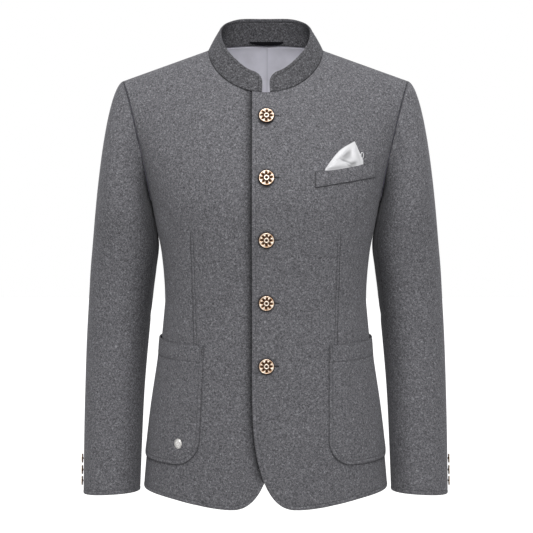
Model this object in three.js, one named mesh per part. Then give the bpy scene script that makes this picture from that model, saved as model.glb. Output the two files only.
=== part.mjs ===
// Wool blazer with a stand (mandarin) collar, five front buttons, two patch pockets and a breast welt.
// It is filled out as when worn, with nothing inside. Millimetres, +Z up, the front faces -Y and the
// wearer's left arm is on +X. The origin lies between the two points where the shoulder seams meet
// the collar.
import * as THREE from "three";

// Driving dimensions
const CLOTH = 2.2; // wool with its lining
const COLLAR_CLOTH = 3;
const PATCH_CLOTH = 2;
const LINING_CLOTH = 1;
const SQUARE_CLOTH = 1.5; // folded satin
const SEAM_GAP = 0.3; // between two sewn pieces
const HALF_GAP = SEAM_GAP / 2;
const ROUNDNESS = 2.4; // exponent of the torso's rounded section, 2 is an ellipse
const ARMPIT = -245; // level of the bottom of the armhole
const UPPER_SPAN = 190; // levels between the armpit and the shoulder and neck seams
const SIDE_RADIUS = 180; // of the torso at its side seams, for gaps given as angles
const BACK_RADIUS = 118; // of the torso at its centre back seam
const TOP = ARMPIT + UPPER_SPAN;
const SIDE_SEAM = { armpit: 95, hem: 112, drop: 170 }; // degrees from the centre front, and how far it curves

// Half width, front depth and back depth of the body at each height
const TORSO = [
  { z: -730, halfWidth: 199, front: 130, back: 132 },
  { z: -649, halfWidth: 191.8, front: 129, back: 130 },
  { z: -570, halfWidth: 182.5, front: 127, back: 121 },
  { z: -492, halfWidth: 170.6, front: 125, back: 107 },
  { z: -440, halfWidth: 164.4, front: 125, back: 100 },
  { z: -388, halfWidth: 160.8, front: 127, back: 98 },
  { z: -324, halfWidth: 165.7, front: 132, back: 104 },
  { z: -285, halfWidth: 173, front: 136, back: 111 },
  { z: ARMPIT, halfWidth: 181, front: 139, back: 118 },
  { z: -205, halfWidth: 191, front: 139, back: 120 },
];

// Neckline, a tilted oval, and the shoulder seams that run out from its sides
const NECK = {
  halfWidth: 91, middleY: 5, front: 80, back: 57, sideZ: -3.8, frontDrop: 65, frontPower: 1.15, backRise: 10,
};
const SHOULDER = { tipX: 225, tipZ: -51.8, seamY: 5, bow: 30 };
const NECK_REACH = 88; // the armpit ring's point with this x runs up to the side of the neck
const TIP_ANGLE = 75; // the armpit ring's point at this angle runs up to the shoulder tip
const FULLNESS = { shoulder: 150, neckFront: 105, neckBack: 110 };
const CROWN_SPREAD = 26; // degrees over which the corner at the side of the neck fades out at the armpit
const CROWN_BLUR = [
  { reach: -1, weight: 0.1 },
  { reach: -0.5, weight: 0.24 },
  { reach: 0, weight: 0.32 },
  { reach: 0.5, weight: 0.24 },
  { reach: 1, weight: 0.1 },
];
const NECK_SLOPE = { front: 38, back: 42 }; // degrees that the cloth leans in where it meets the collar

// Degrees from the centre front at which the front ends and the back begins round the armhole
const ARMHOLE = [
  { rise: 0, front: 95, back: 95 },
  { rise: 0.012, front: 90.8, back: 100.5 },
  { rise: 0.04, front: 86.6, back: 106 },
  { rise: 0.09, front: 82.6, back: 110.5 },
  { rise: 0.18, front: 79, back: 113.5 },
  { rise: 0.3, front: 77.2, back: 114.5 },
  { rise: 0.42, front: 76, back: 114.2 },
  { rise: 0.54, front: 74.9, back: 113.2 },
  { rise: 0.66, front: 74.4, back: 111.5 },
  { rise: 0.77, front: 74.35, back: 109.5 },
  { rise: 0.87, front: 74.5, back: 107.7 },
  { rise: 0.945, front: 74.8, back: 106.3 },
  { rise: 0.985, front: 75, back: 105.3 },
  { rise: 1, front: 75, back: 105 },
];

// Front edges, hem and the lap of one front over the other
const LAP = { over: 20.8, under: 17, lift: 1.5, flat: 20, fade: 30 };
const HEM = { side: -700, front: -714.7, back: -703, frontX: 50, sideX: 192, backY: 120 };
const CUTAWAY = { top: -525, width: 73.5, exponent: 2.5 };

// Top edge of the stand collar by degrees round from the centre front, and its rounded ends
const COLLAR_TOP = { halfWidth: 71.5, middleY: 4, front: 62, back: 46 };
const COLLAR_HEIGHTS = [
  { turn: 0, z: -38 },
  { turn: 20, z: -33 },
  { turn: 44, z: -14 },
  { turn: 58, z: -1.5 },
  { turn: 73, z: 11.5 },
  { turn: 90, z: 27 },
  { turn: 110, z: 37 },
  { turn: 124, z: 42 },
  { turn: 146, z: 47 },
  { turn: 180, z: 47.5 },
];
const COLLAR_END = { leftX: 6.8, rightX: 5.5, across: 20, drop: 18, bulge: 1.2 };

// Sleeve tube below the armhole. Degrees round it are 0 at the outer side and 90 at the front.
const SLEEVE = [
  { z: -275, inner: 176, outer: 272.5, middleY: 2, halfDepth: 66 },
  { z: -311, inner: 170.6, outer: 276, middleY: 5, halfDepth: 62 },
  { z: -350, inner: 175, outer: 279.8, middleY: 7, halfDepth: 58.5 },
  { z: -388, inner: 180, outer: 282.5, middleY: 8, halfDepth: 56 },
  { z: -465, inner: 188, outer: 287.2, middleY: 4, halfDepth: 52.5 },
  { z: -542, inner: 194.4, outer: 289.6, middleY: -6, halfDepth: 50 },
  { z: -618, inner: 198, outer: 291, middleY: -18, halfDepth: 48 },
  { z: -720, inner: 201.7, outer: 291.8, middleY: -33, halfDepth: 46 },
];
const SLEEVE_TOP = -275;
const CUFF = { z: -705.5, tilt: 2.4, rise: 3.6, roundness: 2.2 }; // it slants, higher inside and in front
const SLEEVE_CLEARANCE = { below: 1.4, until: 0.6, lowest: -400 }; // from the body, by how far down the crown
const SLEEVE_SEAM_INSET = 0.2; // degrees, for the gap between a top and an under sleeve
const CROWN_DROOP = 1.1; // how firmly the crown of the sleeve hangs into the tube below it
// How far and which way the sleeve cloth leaves the armhole seam, at the top, the front and the armpit
const SLEEVE_HEAD = { top: [70, 0, -25], front: [54, -18, -24], armpit: [7, 0, -8] };

// Pockets: x of the edge towards the centre at the top and the bottom, on each side
const PATCH_GAP = 0.5; // under a patch, which bridges the curve of the cloth
const PATCH_POCKET = { top: -458, bottom: -648, width: 170, corner: 42, left: [97.6, 98], right: [95, 104] };
const POCKET_ROWS = { corner: [0, 0.02, 0.07, 0.15, 0.26, 0.4, 0.58, 0.8, 1], above: [70, 100, 130, 163] };
const WELT = { innerX: 75, outerX: 170, innerZ: -213, outerZ: -199.5, height: 23.5 };
const POCKET_SQUARE = [
  { x: 90, top: -184.5 },
  { x: 98, top: -175 },
  { x: 106, top: -165.5 },
  { x: 114, top: -156.5 },
  { x: 122, top: -148 },
  { x: 130, top: -143.5 },
  { x: 136.5, top: -142.3 },
  { x: 140.5, top: -150 },
  { x: 144.3, top: -158.5 },
  { x: 149, top: -163 },
  { x: 151.3, top: -167 },
  { x: 152.5, top: -172 },
];

// Buttons and small parts
const FRONT_BUTTONS = { x: 1.4, heights: [-105, -197.5, -292, -390, -488.5], radius: 12 };
const CUFF_BUTTONS = { heights: [-651, -669, -686], turn: 6, radius: 7.5 };
const STUD = { x: 134.8, z: -614.3, radius: 6, stretch: 1.2 };
const HANGER_LOOP = {
  fromTurn: 161, toTurn: 197, bottom: 0.02, top: 0.18, bow: 1.6, thickness: 0.9, gap: 0.8,
};
// The lining's pleat, with its columns in degrees from the centre back
const PLEAT = { fold: 3, fade: 24, depth: 1.3, columns: [8.5, 5, 2.1, 1.5] };

const rad = THREE.MathUtils.degToRad;
const lerp = THREE.MathUtils.lerp;
const clamp = THREE.MathUtils.clamp;
const smooth = (t) => THREE.MathUtils.smoothstep(t, 0, 1);
const vec = (x, y, z) => new THREE.Vector3(x, y, z);
const steps = (count) => Array.from({ length: count + 1 }, (_, i) => i / count);
const mirrorX = (point) => vec(-point.x, point.y, point.z);

// The value of one column of a table at a place along another, on a smooth curve through its rows.
function tableValue(rows, along, column, at) {
  const ordered = rows[0][along] < rows[1][along] ? rows : [...rows].reverse();
  const last = ordered.length - 1;
  const place = clamp(at, ordered[0][along], ordered[last][along]);
  let i = 0;
  while (i < last - 1 && ordered[i + 1][along] < place) i += 1;
  const slope = (k) => {
    const a = ordered[Math.max(k - 1, 0)];
    const b = ordered[Math.min(k + 1, last)];
    return (b[column] - a[column]) / (b[along] - a[along]);
  };
  const width = ordered[i + 1][along] - ordered[i][along];
  const t = (place - ordered[i][along]) / width;
  return hermite(ordered[i][column], slope(i) * width, ordered[i + 1][column], slope(i + 1) * width, t);
}

function hermite(from, fromSlope, to, toSlope, t) {
  const t2 = t * t;
  const t3 = t2 * t;
  return (2 * t3 - 3 * t2 + 1) * from + (t3 - 2 * t2 + t) * fromSlope
    + (3 * t2 - 2 * t3) * to + (t3 - t2) * toSlope;
}

function hermitePoint(from, fromTangent, to, toTangent, t) {
  return vec(...["x", "y", "z"].map((k) => hermite(from[k], fromTangent[k], to[k], toTangent[k], t)));
}

// The place between two others at which a value that grows from one to the other reaches a target.
function placeWhere(valueAt, target, from, to) {
  let low = from;
  let high = to;
  for (let i = 0; i < 30; i += 1) {
    const middle = (low + high) / 2;
    if (valueAt(middle) < target) low = middle;
    else high = middle;
  }
  return (low + high) / 2;
}

// A point of a rounded oval that fills the two half sizes.
function ovalPoint(angle, halfAcross, halfAlong, roundness) {
  const across = Math.sin(angle);
  const along = Math.cos(angle);
  const radius = ((Math.abs(across) / halfAcross) ** roundness
    + (Math.abs(along) / halfAlong) ** roundness) ** (-1 / roundness);
  return { across: radius * across, along: radius * along };
}

// The torso, a surface given by the angle round it from the centre front and a level. The level is the
// height z up to the armpit and runs on to TOP at the neck and shoulder seams. A negative angle is on
// the wearer's right.

// The body below the armpit: a horizontal ring at height z.
function bodyRing(angle, z) {
  const depth = tableValue(TORSO, "z", Math.cos(angle) > 0 ? "front" : "back", z);
  const oval = ovalPoint(angle, tableValue(TORSO, "z", "halfWidth", z), depth, ROUNDNESS);
  return vec(oval.across, -oval.along, z);
}

// A point of the neckline. It turns from the centre front round the side to the centre back.
function neckline(turn) {
  const toFront = Math.cos(turn);
  const height = toFront > 0 ? -NECK.frontDrop * toFront ** NECK.frontPower : -NECK.backRise * toFront;
  const depth = toFront > 0 ? NECK.front : NECK.back;
  return vec(NECK.halfWidth * Math.sin(turn), NECK.middleY - depth * toFront, NECK.sideZ + height);
}

// The angle on the torso that runs up to a turn of the neckline.
function neckAngle(turn) {
  const reach = NECK_REACH * Math.abs(Math.sin(turn));
  const middle = Math.cos(turn) >= 0 ? 0 : Math.PI;
  return placeWhere((angle) => bodyRing(angle, ARMPIT).x, reach, middle, Math.PI / 2);
}
const NECK_ANGLE = { front: neckAngle(Math.PI / 2), back: neckAngle(Math.PI / 2 + 1e-6) };

// Where the cloth at an angle ends above, on the neckline or the shoulder seam, and its direction there.
function crown(angle) {
  const isFront = angle < Math.PI / 2;
  const direction = isFront ? 1 : -1;
  const seamAngle = isFront ? NECK_ANGLE.front : NECK_ANGLE.back;
  const tipAngle = rad(isFront ? TIP_ANGLE : 180 - TIP_ANGLE);
  const share = (angle - seamAngle) / (tipAngle - seamAngle);
  if (share <= 0) {
    const sideways = Math.asin(clamp(bodyRing(angle, ARMPIT).x / NECK_REACH, 0, 1));
    const toSide = 1 - Math.cos(sideways);
    const lean = rad(lerp(isFront ? NECK_SLOPE.front : NECK_SLOPE.back, 90, toSide));
    const length = lerp(isFront ? FULLNESS.neckFront : FULLNESS.neckBack, FULLNESS.shoulder, toSide);
    return {
      point: neckline(isFront ? sideways : Math.PI - sideways),
      tangent: vec(0, direction * length * Math.sin(lean), length * Math.cos(lean)),
    };
  }
  const along = Math.min(share, 1);
  return {
    point: vec(
      lerp(NECK.halfWidth, SHOULDER.tipX, along),
      SHOULDER.seamY,
      lerp(NECK.sideZ, SHOULDER.tipZ, along),
    ),
    tangent: vec(-SHOULDER.bow * along, direction * FULLNESS.shoulder, 0),
  };
}

// The same, averaged over a spread of angles, so that the corner at the side of the neck fades out below it.
function softCrown(angle, spread) {
  const point = vec(0, 0, 0);
  const tangent = vec(0, 0, 0);
  for (const { reach, weight } of CROWN_BLUR) {
    const place = angle + reach * spread;
    const isMirrored = place < 0 || place > Math.PI;
    const at = crown(place < 0 ? -place : Math.min(place, 2 * Math.PI - place));
    point.addScaledVector(isMirrored ? mirrorX(at.point) : at.point, weight);
    tangent.addScaledVector(isMirrored ? mirrorX(at.tangent) : at.tangent, weight);
  }
  return { point, tangent };
}

function upperTorso(angle, rise) {
  const below = bodyRing(angle, ARMPIT);
  const upward = below.clone().sub(bodyRing(angle, ARMPIT - 1)).multiplyScalar(UPPER_SPAN);
  const above = softCrown(angle, rad(CROWN_SPREAD) * (1 - rise));
  return hermitePoint(below, upward, above.point, above.tangent, rise);
}

function torso(angle, level) {
  const half = Math.abs(angle);
  const point = level <= ARMPIT ? bodyRing(half, level) : upperTorso(half, (level - ARMPIT) / UPPER_SPAN);
  return angle < 0 ? mirrorX(point) : point;
}

// The outward direction of a surface given by two parameters, from four points close round the place.
function surfaceNormal(surface, u, v, du, dv) {
  const alongU = surface(u + du, v).sub(surface(u - du, v));
  const alongV = surface(u, v + dv).sub(surface(u, v - dv));
  return alongU.cross(alongV).normalize();
}

// A point of the torso moved out of the cloth by a distance.
function onTorso(angle, level, out) {
  const normal = surfaceNormal(torso, angle, Math.min(level, TOP - 0.6), 0.004, 0.5);
  return torso(angle, level).addScaledVector(normal, out);
}

// The angle at which the front of the torso has an x, and the angle and level of a place given by x and z.
function frontAngle(x, level) {
  const angle = placeWhere((a) => torso(a, level).x, Math.abs(x), 0, Math.PI / 2);
  return x < 0 ? -angle : angle;
}

function frontPlace(x, z) {
  if (z <= ARMPIT) return { angle: frontAngle(x, z), level: z };
  const level = placeWhere((v) => torso(frontAngle(x, v), v).z, z, ARMPIT, TOP);
  return { angle: frontAngle(x, level), level };
}

// The angle at a distance round the torso from another.
function angleAlong(start, level, distance) {
  let angle = start;
  let left = distance;
  while (left > 1e-6) {
    const step = Math.min(left, 4);
    angle += step / (torso(angle + 0.005, level).distanceTo(torso(angle - 0.005, level)) / 0.01);
    left -= step;
  }
  return angle;
}

// Closed meshes from grids of points

// A closed wall between an outer and an inner grid. Along a row, then up the rows, the outer grid's
// faces look out. A mirrored wall has its points moved to -X and its faces turned round. From the column
// flipFrom on, the quads are cut along their other diagonal.
function wall(outer, inner, mirrored = false, flipFrom = Infinity) {
  const rows = outer.length;
  const columns = outer[0].length;
  const positions = [...outer.flat(), ...inner.flat()].flatMap((p) => [mirrored ? -p.x : p.x, p.y, p.z]);
  const faces = [];
  const quad = (a, b, c, d) => faces.push(...(mirrored ? [a, c, b, a, d, c] : [a, b, c, a, c, d]));
  const sheetQuad = (column, a, b, c, d) => (column < flipFrom ? quad(a, b, c, d) : quad(b, c, d, a));
  const at = (side, row, column) => side * rows * columns + row * columns + column;
  for (let r = 0; r + 1 < rows; r += 1) {
    for (let c = 0; c + 1 < columns; c += 1) {
      sheetQuad(c, at(0, r, c), at(0, r, c + 1), at(0, r + 1, c + 1), at(0, r + 1, c));
      sheetQuad(c, at(1, r, c), at(1, r + 1, c), at(1, r + 1, c + 1), at(1, r, c + 1));
    }
  }
  const rim = [];
  for (let c = 0; c + 1 < columns; c += 1) rim.push([0, c]);
  for (let r = 0; r + 1 < rows; r += 1) rim.push([r, columns - 1]);
  for (let c = columns - 1; c > 0; c -= 1) rim.push([rows - 1, c]);
  for (let r = rows - 1; r > 0; r -= 1) rim.push([r, 0]);
  rim.forEach(([r, c], i) => {
    const [nextR, nextC] = rim[(i + 1) % rim.length];
    quad(at(1, r, c), at(1, nextR, nextC), at(0, nextR, nextC), at(0, r, c));
  });
  return indexed(positions, faces);
}

function indexed(positions, faces) {
  const geometry = new THREE.BufferGeometry();
  geometry.setAttribute("position", new THREE.Float32BufferAttribute(positions, 3));
  geometry.setIndex(faces);
  return geometry;
}

// A round piece turned about an axis from a profile of radius and height, closed by a point at each end.
// Stretch widens it along the direction up.
function turned(profile, origin, axis, up, stretch = 1, segments = 20) {
  const side = up.clone().cross(axis).normalize();
  const upright = axis.clone().cross(side);
  const positions = [];
  const push = (x, y, h) => {
    const p = origin.clone().addScaledVector(side, x);
    p.addScaledVector(upright, y * stretch).addScaledVector(axis, h);
    positions.push(p.x, p.y, p.z);
  };
  for (const { radius, height } of profile) {
    for (let i = 0; i < segments; i += 1) {
      const angle = (2 * Math.PI * i) / segments;
      push(radius * Math.cos(angle), radius * Math.sin(angle), height);
    }
  }
  push(0, 0, profile[0].height);
  push(0, 0, profile[profile.length - 1].height);
  const faces = [];
  const bottom = profile.length * segments;
  for (let i = 0; i < segments; i += 1) {
    const next = (i + 1) % segments;
    faces.push(bottom, next, i);
    for (let k = 0; k + 1 < profile.length; k += 1) {
      const a = k * segments;
      const b = a + segments;
      faces.push(a + i, a + next, b + next, a + i, b + next, b + i);
    }
    const top = (profile.length - 1) * segments;
    faces.push(top + i, top + next, bottom + 1);
  }
  return indexed(positions, faces);
}

function finish(color, roughness, metalness = 0) {
  return new THREE.MeshStandardMaterial({ color, roughness, metalness });
}
const wool = finish(0x6b6b6f, 0.95);
const satin = finish(0xa9a8b4, 0.45);
const silk = finish(0xcfcfd4, 0.4);
const tape = finish(0x141416, 0.8);
const copper = finish(0xb98a63, 0.35, 0.9);
const silver = finish(0xcdcac6, 0.3, 0.9);

const garment = new THREE.Group();

function add(name, geometry, material) {
  const mesh = new THREE.Mesh(geometry, material);
  mesh.name = name;
  garment.add(mesh);
}

// Fronts and backs. Both have the same rows, so that they meet along the side and shoulder seams.
// The rows round the cut-away corner are shares of the way from the hem to the cutaway's top.
const CORNER_ROWS = [1, 0.985, 0.95, 0.89, 0.8, 0.68, 0.5, 0.27, 0];
const BODY_LEVELS = [-485, -447, -412, -378, -344, -310, -276];
const UPPER_ROWS = ARMHOLE.map(({ rise }) => rise);
const SEAM_LEVEL = HALF_GAP * 1.3;

function sideAngle(level) {
  return rad(lerp(SIDE_SEAM.armpit, SIDE_SEAM.hem, smooth((ARMPIT - level) / SIDE_SEAM.drop)));
}

// Height of the lower edge at an angle: a little longer towards the centre front.
function hemHeight(angle) {
  const { x, y } = bodyRing(angle, HEM.side);
  if (y > 0) return lerp(HEM.side, HEM.back, smooth(y / HEM.backY));
  return lerp(HEM.front, HEM.side, smooth((x - HEM.frontX) / (HEM.sideX - HEM.frontX)));
}

// The rows from the hem up, each with its level at an angle and its rise up the armhole.
const BODY_ROWS = [
  ...CORNER_ROWS.map((fall) => ({ fall, level: (angle) => lerp(CUTAWAY.top, hemHeight(angle), fall) })),
  ...BODY_LEVELS.map((z) => ({ level: () => z })),
  ...UPPER_ROWS.map((rise) => ({
    rise,
    level: () => ARMPIT + UPPER_SPAN * rise - (rise === 1 ? SEAM_LEVEL : 0),
  })),
];

// Columns of a front: its edge, then steps round the neckline, then steps along the shoulder.
const NECK_TURNS = [12, 22, 33, 44, 56, 68, 79, 90];
const BACK_TURNS = [75, 60, 45, 30, 15, 0]; // from the side of the neck to the centre back
const SHOULDER_STEPS = steps(7).slice(1);

// How far the front edge has been cut away at a height, as a rounded corner.
function cutawayAt(z) {
  const fall = clamp((CUTAWAY.top - z) / (CUTAWAY.top - HEM.front), 0, 1);
  return CUTAWAY.width * (1 - (1 - fall ** CUTAWAY.exponent) ** (1 / CUTAWAY.exponent));
}

// Lap of the fronts: the upper one is lifted and the under one sunk, fading out beyond the overlap.
function lapOffset(x, isOver) {
  const fade = 1 - smooth((Math.abs(x) - LAP.flat) / LAP.fade);
  return (isOver ? LAP.lift : -LAP.lift) * fade;
}

// A point of a front, in the frame where its own side is +X. The over front reaches further past the centre.
function frontPoint(angle, level, isOver, out) {
  return onTorso(angle, level, lapOffset(torso(angle, level).x, isOver) + out);
}

function frontGrid(isOver, collarX, out) {
  const reach = -(isOver ? LAP.over : LAP.under);
  return BODY_ROWS.map(({ rise = 0, level }) => {
    const edgeLevel = level(0);
    const upperStart = frontAngle(reach, Math.max(edgeLevel, ARMPIT));
    const start = frontAngle(reach + cutawayAt(edgeLevel), edgeLevel);
    const end = rise > 0 ? rad(tableValue(ARMHOLE, "rise", "front", rise)) : sideAngle(level(Math.PI / 2));
    const collarStart = neckAngle(Math.asin(collarX / NECK.halfWidth));
    const neck = NECK_TURNS.map((t) => neckAngle(rad(t)));
    const fixed = [upperStart, lerp(upperStart, collarStart, 0.5), collarStart, ...neck];
    const stretch = (NECK_ANGLE.front - start) / (NECK_ANGLE.front - upperStart);
    const angles = [
      ...fixed.map((angle) => NECK_ANGLE.front - (NECK_ANGLE.front - angle) * stretch),
      ...SHOULDER_STEPS.map((share) => lerp(NECK_ANGLE.front, end, share)),
    ];
    angles[angles.length - 1] -= HALF_GAP / SIDE_RADIUS;
    return angles.map((angle) => frontPoint(angle, level(Math.max(angle, 0)), isOver, out));
  });
}

const FRONTS = [
  { name: "front_left", isOver: true, collarX: COLLAR_END.leftX },
  { name: "front_right", isOver: false, collarX: COLLAR_END.rightX },
];
for (const { name, isOver, collarX } of FRONTS) {
  add(name, wall(frontGrid(isOver, collarX, 0), frontGrid(isOver, collarX, -CLOTH), !isOver), wool);
}

// Columns of a back at a row, from the side or armhole to the centre back.
function backAngles({ rise = 0, level }) {
  const start = rise > 0 ? rad(tableValue(ARMHOLE, "rise", "back", rise)) : sideAngle(level(Math.PI / 2));
  const shoulder = steps(5).slice(0, -1).map((share) => lerp(start, NECK_ANGLE.back, share));
  const neck = [NECK_ANGLE.back, ...BACK_TURNS.map((t) => neckAngle(rad(180 - t)))];
  const angles = [...shoulder, ...neck];
  angles[0] += HALF_GAP / SIDE_RADIUS;
  return angles;
}

function backGrid(out) {
  return BODY_ROWS.map((row) => {
    const angles = backAngles(row);
    angles[angles.length - 1] -= HALF_GAP / BACK_RADIUS;
    return angles.map((angle) => onTorso(angle, row.level(angle), out));
  });
}

for (const [name, mirrored] of [["back_left", false], ["back_right", true]]) {
  add(name, wall(backGrid(0), backGrid(-CLOTH), mirrored), wool);
}

// Satin lining inside the backs, seen through the neck opening, with a pleat down its middle
function pleatFold(x) {
  return x < PLEAT.fold ? 0 : PLEAT.depth * (1 - smooth((x - PLEAT.fold) / PLEAT.fade));
}

function liningGrid(depth) {
  const rows = [
    ...BODY_ROWS.filter(({ rise = 0 }) => rise > 0.01 && rise < 0.96),
    { rise: 0.975, level: () => TOP - 4.8 },
  ];
  return rows.map((row) => {
    const half = backAngles(row).slice(1);
    const pleat = PLEAT.columns.map((degrees) => Math.PI - rad(degrees));
    const left = [...half.slice(0, -1), ...pleat, Math.PI];
    const right = half.slice(0, -1).reverse();
    const place = (angle, mirrored) => {
      const point = torso(angle, row.level(angle));
      const fold = mirrored ? 0 : pleatFold(point.x);
      const moved = onTorso(angle, row.level(angle), -CLOTH - SEAM_GAP - fold - depth);
      return mirrored ? mirrorX(moved) : moved;
    };
    return [...left.map((angle) => place(angle, false)), ...right.map((angle) => place(angle, true))];
  });
}
const liningRows = liningGrid(0);
add("lining_back", wall(liningRows, liningGrid(LINING_CLOTH), false, (liningRows[0].length + 3) / 2), satin);

// Stand collar, from its left end round the back to its right end
function collarEdgeHeight(turn) {
  const degrees = THREE.MathUtils.radToDeg(turn > Math.PI ? 2 * Math.PI - turn : turn);
  return tableValue(COLLAR_HEIGHTS, "turn", "z", degrees);
}

function collarSurface(turn, share) {
  const toFront = Math.cos(turn);
  const depth = toFront > 0 ? COLLAR_TOP.front : COLLAR_TOP.back;
  const topY = COLLAR_TOP.middleY - depth * toFront;
  const top = vec(COLLAR_TOP.halfWidth * Math.sin(turn), topY, collarEdgeHeight(turn));
  const point = neckline(turn).lerp(top, share);
  const bulge = COLLAR_END.bulge * Math.sin(Math.PI * share);
  return point.add(vec(Math.sin(turn), -toFront, 0).multiplyScalar(bulge));
}

// Share of the full height that is left at a turn near one of the collar's rounded ends.
function collarEndShare(turn) {
  const fromEnd = NECK.halfWidth * Math.min(turn - COLLAR_START, COLLAR_STOP - turn);
  const q = clamp(fromEnd / COLLAR_END.across, 0, 1);
  const drop = COLLAR_END.drop * (1 - Math.sqrt(1 - (1 - q) ** 2));
  return 1 - drop / collarSurface(turn, 0).distanceTo(collarSurface(turn, 1));
}

function onCollar(turn, share, out) {
  const normal = surfaceNormal(collarSurface, turn, share, 0.004, 0.02);
  return collarSurface(turn, share).addScaledVector(normal, out);
}

const COLLAR_START = Math.asin(COLLAR_END.leftX / NECK.halfWidth);
const COLLAR_STOP = 2 * Math.PI - Math.asin(COLLAR_END.rightX / NECK.halfWidth);
const COLLAR_TURNS = [...NECK_TURNS.map(rad), ...BACK_TURNS.map((t) => rad(180 - t))];
const COLLAR_COLUMNS = [
  ...[0, 0.6, 2, 4].map((degrees) => COLLAR_START + rad(degrees)),
  ...COLLAR_TURNS,
  ...COLLAR_TURNS.slice(0, -1).reverse().map((turn) => 2 * Math.PI - turn),
  ...[4, 2, 0.6, 0].map((degrees) => COLLAR_STOP - rad(degrees)),
];

function collarGrid(out) {
  return [0.012, 0.25, 0.5, 0.75, 1].map((share) => COLLAR_COLUMNS.map((turn) => (
    onCollar(turn, share * lerp(1, collarEndShare(turn), share), out)
  )));
}
add("collar", wall(collarGrid(0), collarGrid(-COLLAR_CLOTH)), wool);

function loopGrid(depth) {
  const { fromTurn, toTurn, bottom, top, bow, thickness, gap } = HANGER_LOOP;
  return [bottom, top].map((share) => steps(8).map((along) => {
    const turn = rad(lerp(fromTurn, toTurn, along));
    return onCollar(turn, share, -COLLAR_CLOTH - gap - bow * Math.sin(Math.PI * along) - depth * thickness);
  }));
}
add("hanger_loop", wall(loopGrid(0), loopGrid(1)), tape);

// Sleeves, each of a top and an under piece, on the wearer's left

// The armhole seam by degrees round the sleeve: 180 at the armpit, 90 at the front, 0 at the shoulder tip.
function armholePoint(turn) {
  const rise = (1 + Math.cos(rad(turn))) / 2;
  const angle = rad(tableValue(ARMHOLE, "rise", turn >= 0 ? "front" : "back", rise));
  return torso(angle, ARMPIT + UPPER_SPAN * rise);
}

function sleeveRing(turn, z) {
  const inner = tableValue(SLEEVE, "z", "inner", z);
  const outer = tableValue(SLEEVE, "z", "outer", z);
  const depth = tableValue(SLEEVE, "z", "halfDepth", z);
  const oval = ovalPoint(rad(turn), depth, (outer - inner) / 2, CUFF.roundness);
  return vec((outer + inner) / 2 + oval.along, tableValue(SLEEVE, "z", "middleY", z) - oval.across, z);
}

// Half width of the body at a place, which the sleeve stays clear of.
function bodyReach(y, z) {
  const half = tableValue(TORSO, "z", "halfWidth", Math.min(z, ARMPIT));
  const depth = tableValue(TORSO, "z", y < 0 ? "front" : "back", Math.min(z, ARMPIT));
  return half * Math.max(1 - (Math.abs(y) / depth) ** ROUNDNESS, 0) ** (1 / ROUNDNESS);
}

// The sleeve's surface: down is 0 at the armhole, 1 at the end of the crown and 2 at the cuff.
function sleeveSurface(turn, down) {
  const wrapped = turn > 180 ? turn - 360 : turn;
  const toOuter = Math.cos(rad(wrapped));
  const cuffZ = CUFF.z - CUFF.tilt * toOuter + CUFF.rise * Math.sin(rad(wrapped));
  let point;
  if (down >= 1) {
    point = sleeveRing(wrapped, lerp(SLEEVE_TOP, cuffZ, down - 1));
  } else {
    const from = armholePoint(wrapped).add(vec(SEAM_GAP, 0, 0));
    const to = sleeveRing(wrapped, SLEEVE_TOP);
    const leave = [0, 1, 2].map((k) => {
      const { top, front, armpit } = SLEEVE_HEAD;
      const even = (top[k] + armpit[k]) / 2 - front[k];
      if (k === 1) return front[k] * Math.sin(rad(wrapped));
      return front[k] + toOuter * (top[k] - armpit[k]) / 2 + even * toOuter ** 2;
    });
    const arrive = sleeveRing(wrapped, SLEEVE_TOP - 1).sub(to).multiplyScalar((from.z - to.z) * CROWN_DROOP);
    point = hermitePoint(from, vec(...leave), to, arrive, down);
  }
  if (toOuter < 0 && point.z > SLEEVE_CLEARANCE.lowest) {
    const clearance = lerp(SEAM_GAP, SLEEVE_CLEARANCE.below, smooth(down / SLEEVE_CLEARANCE.until));
    point.x = Math.max(point.x, bodyReach(point.y, point.z) + clearance);
  }
  return point;
}

function onSleeve(turn, down, out) {
  const middle = clamp(down, 0.012, 1.99);
  const normal = surfaceNormal(sleeveSurface, turn, middle, 0.3, 0.01);
  return sleeveSurface(turn, down).addScaledVector(normal, out);
}

// Columns round the sleeve stand where the rows of the fronts and backs meet the armhole.
const SLEEVE_ROWS = [0, 0.07, 0.15, 0.25, 0.37, 0.52, 0.7, 0.86, 1, 1.09, 1.2, 1.34, 1.5, 1.68, 1.85, 2];
const armholeTurns = UPPER_ROWS.map((rise) => THREE.MathUtils.radToDeg(Math.acos(2 * rise - 1)));
const frontTurns = armholeTurns.slice(0, -1).reverse(); // from the shoulder tip to the armpit
const backTurns = armholeTurns.slice(1).map((turn) => -turn); // from the armpit to the shoulder tip
const underSeam = { front: armholeTurns[3], back: -armholeTurns[10] };
const TOP_COLUMNS = [
  ...backTurns.filter((turn) => turn >= underSeam.back - 0.01),
  ...frontTurns.filter((turn) => turn <= underSeam.front + 0.01),
];
const UNDER_COLUMNS = [
  ...frontTurns.filter((turn) => turn >= underSeam.front - 0.01),
  ...backTurns.filter((turn) => turn <= underSeam.back + 0.01).map((turn) => turn + 360),
];

function sleeveGrid(columns, out) {
  const lastColumn = columns.length - 1;
  return SLEEVE_ROWS.map((down) => columns.map((turn, i) => {
    const inset = i === 0 ? SLEEVE_SEAM_INSET : i === lastColumn ? -SLEEVE_SEAM_INSET : 0;
    return onSleeve(turn + inset, down, out);
  }));
}

for (const [side, mirrored] of [["left", false], ["right", true]]) {
  for (const [part, columns] of [["top", TOP_COLUMNS], ["under", UNDER_COLUMNS]]) {
    add(`sleeve_${side}_${part}`, wall(sleeveGrid(columns, 0), sleeveGrid(columns, -CLOTH), mirrored), wool);
  }
}

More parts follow.
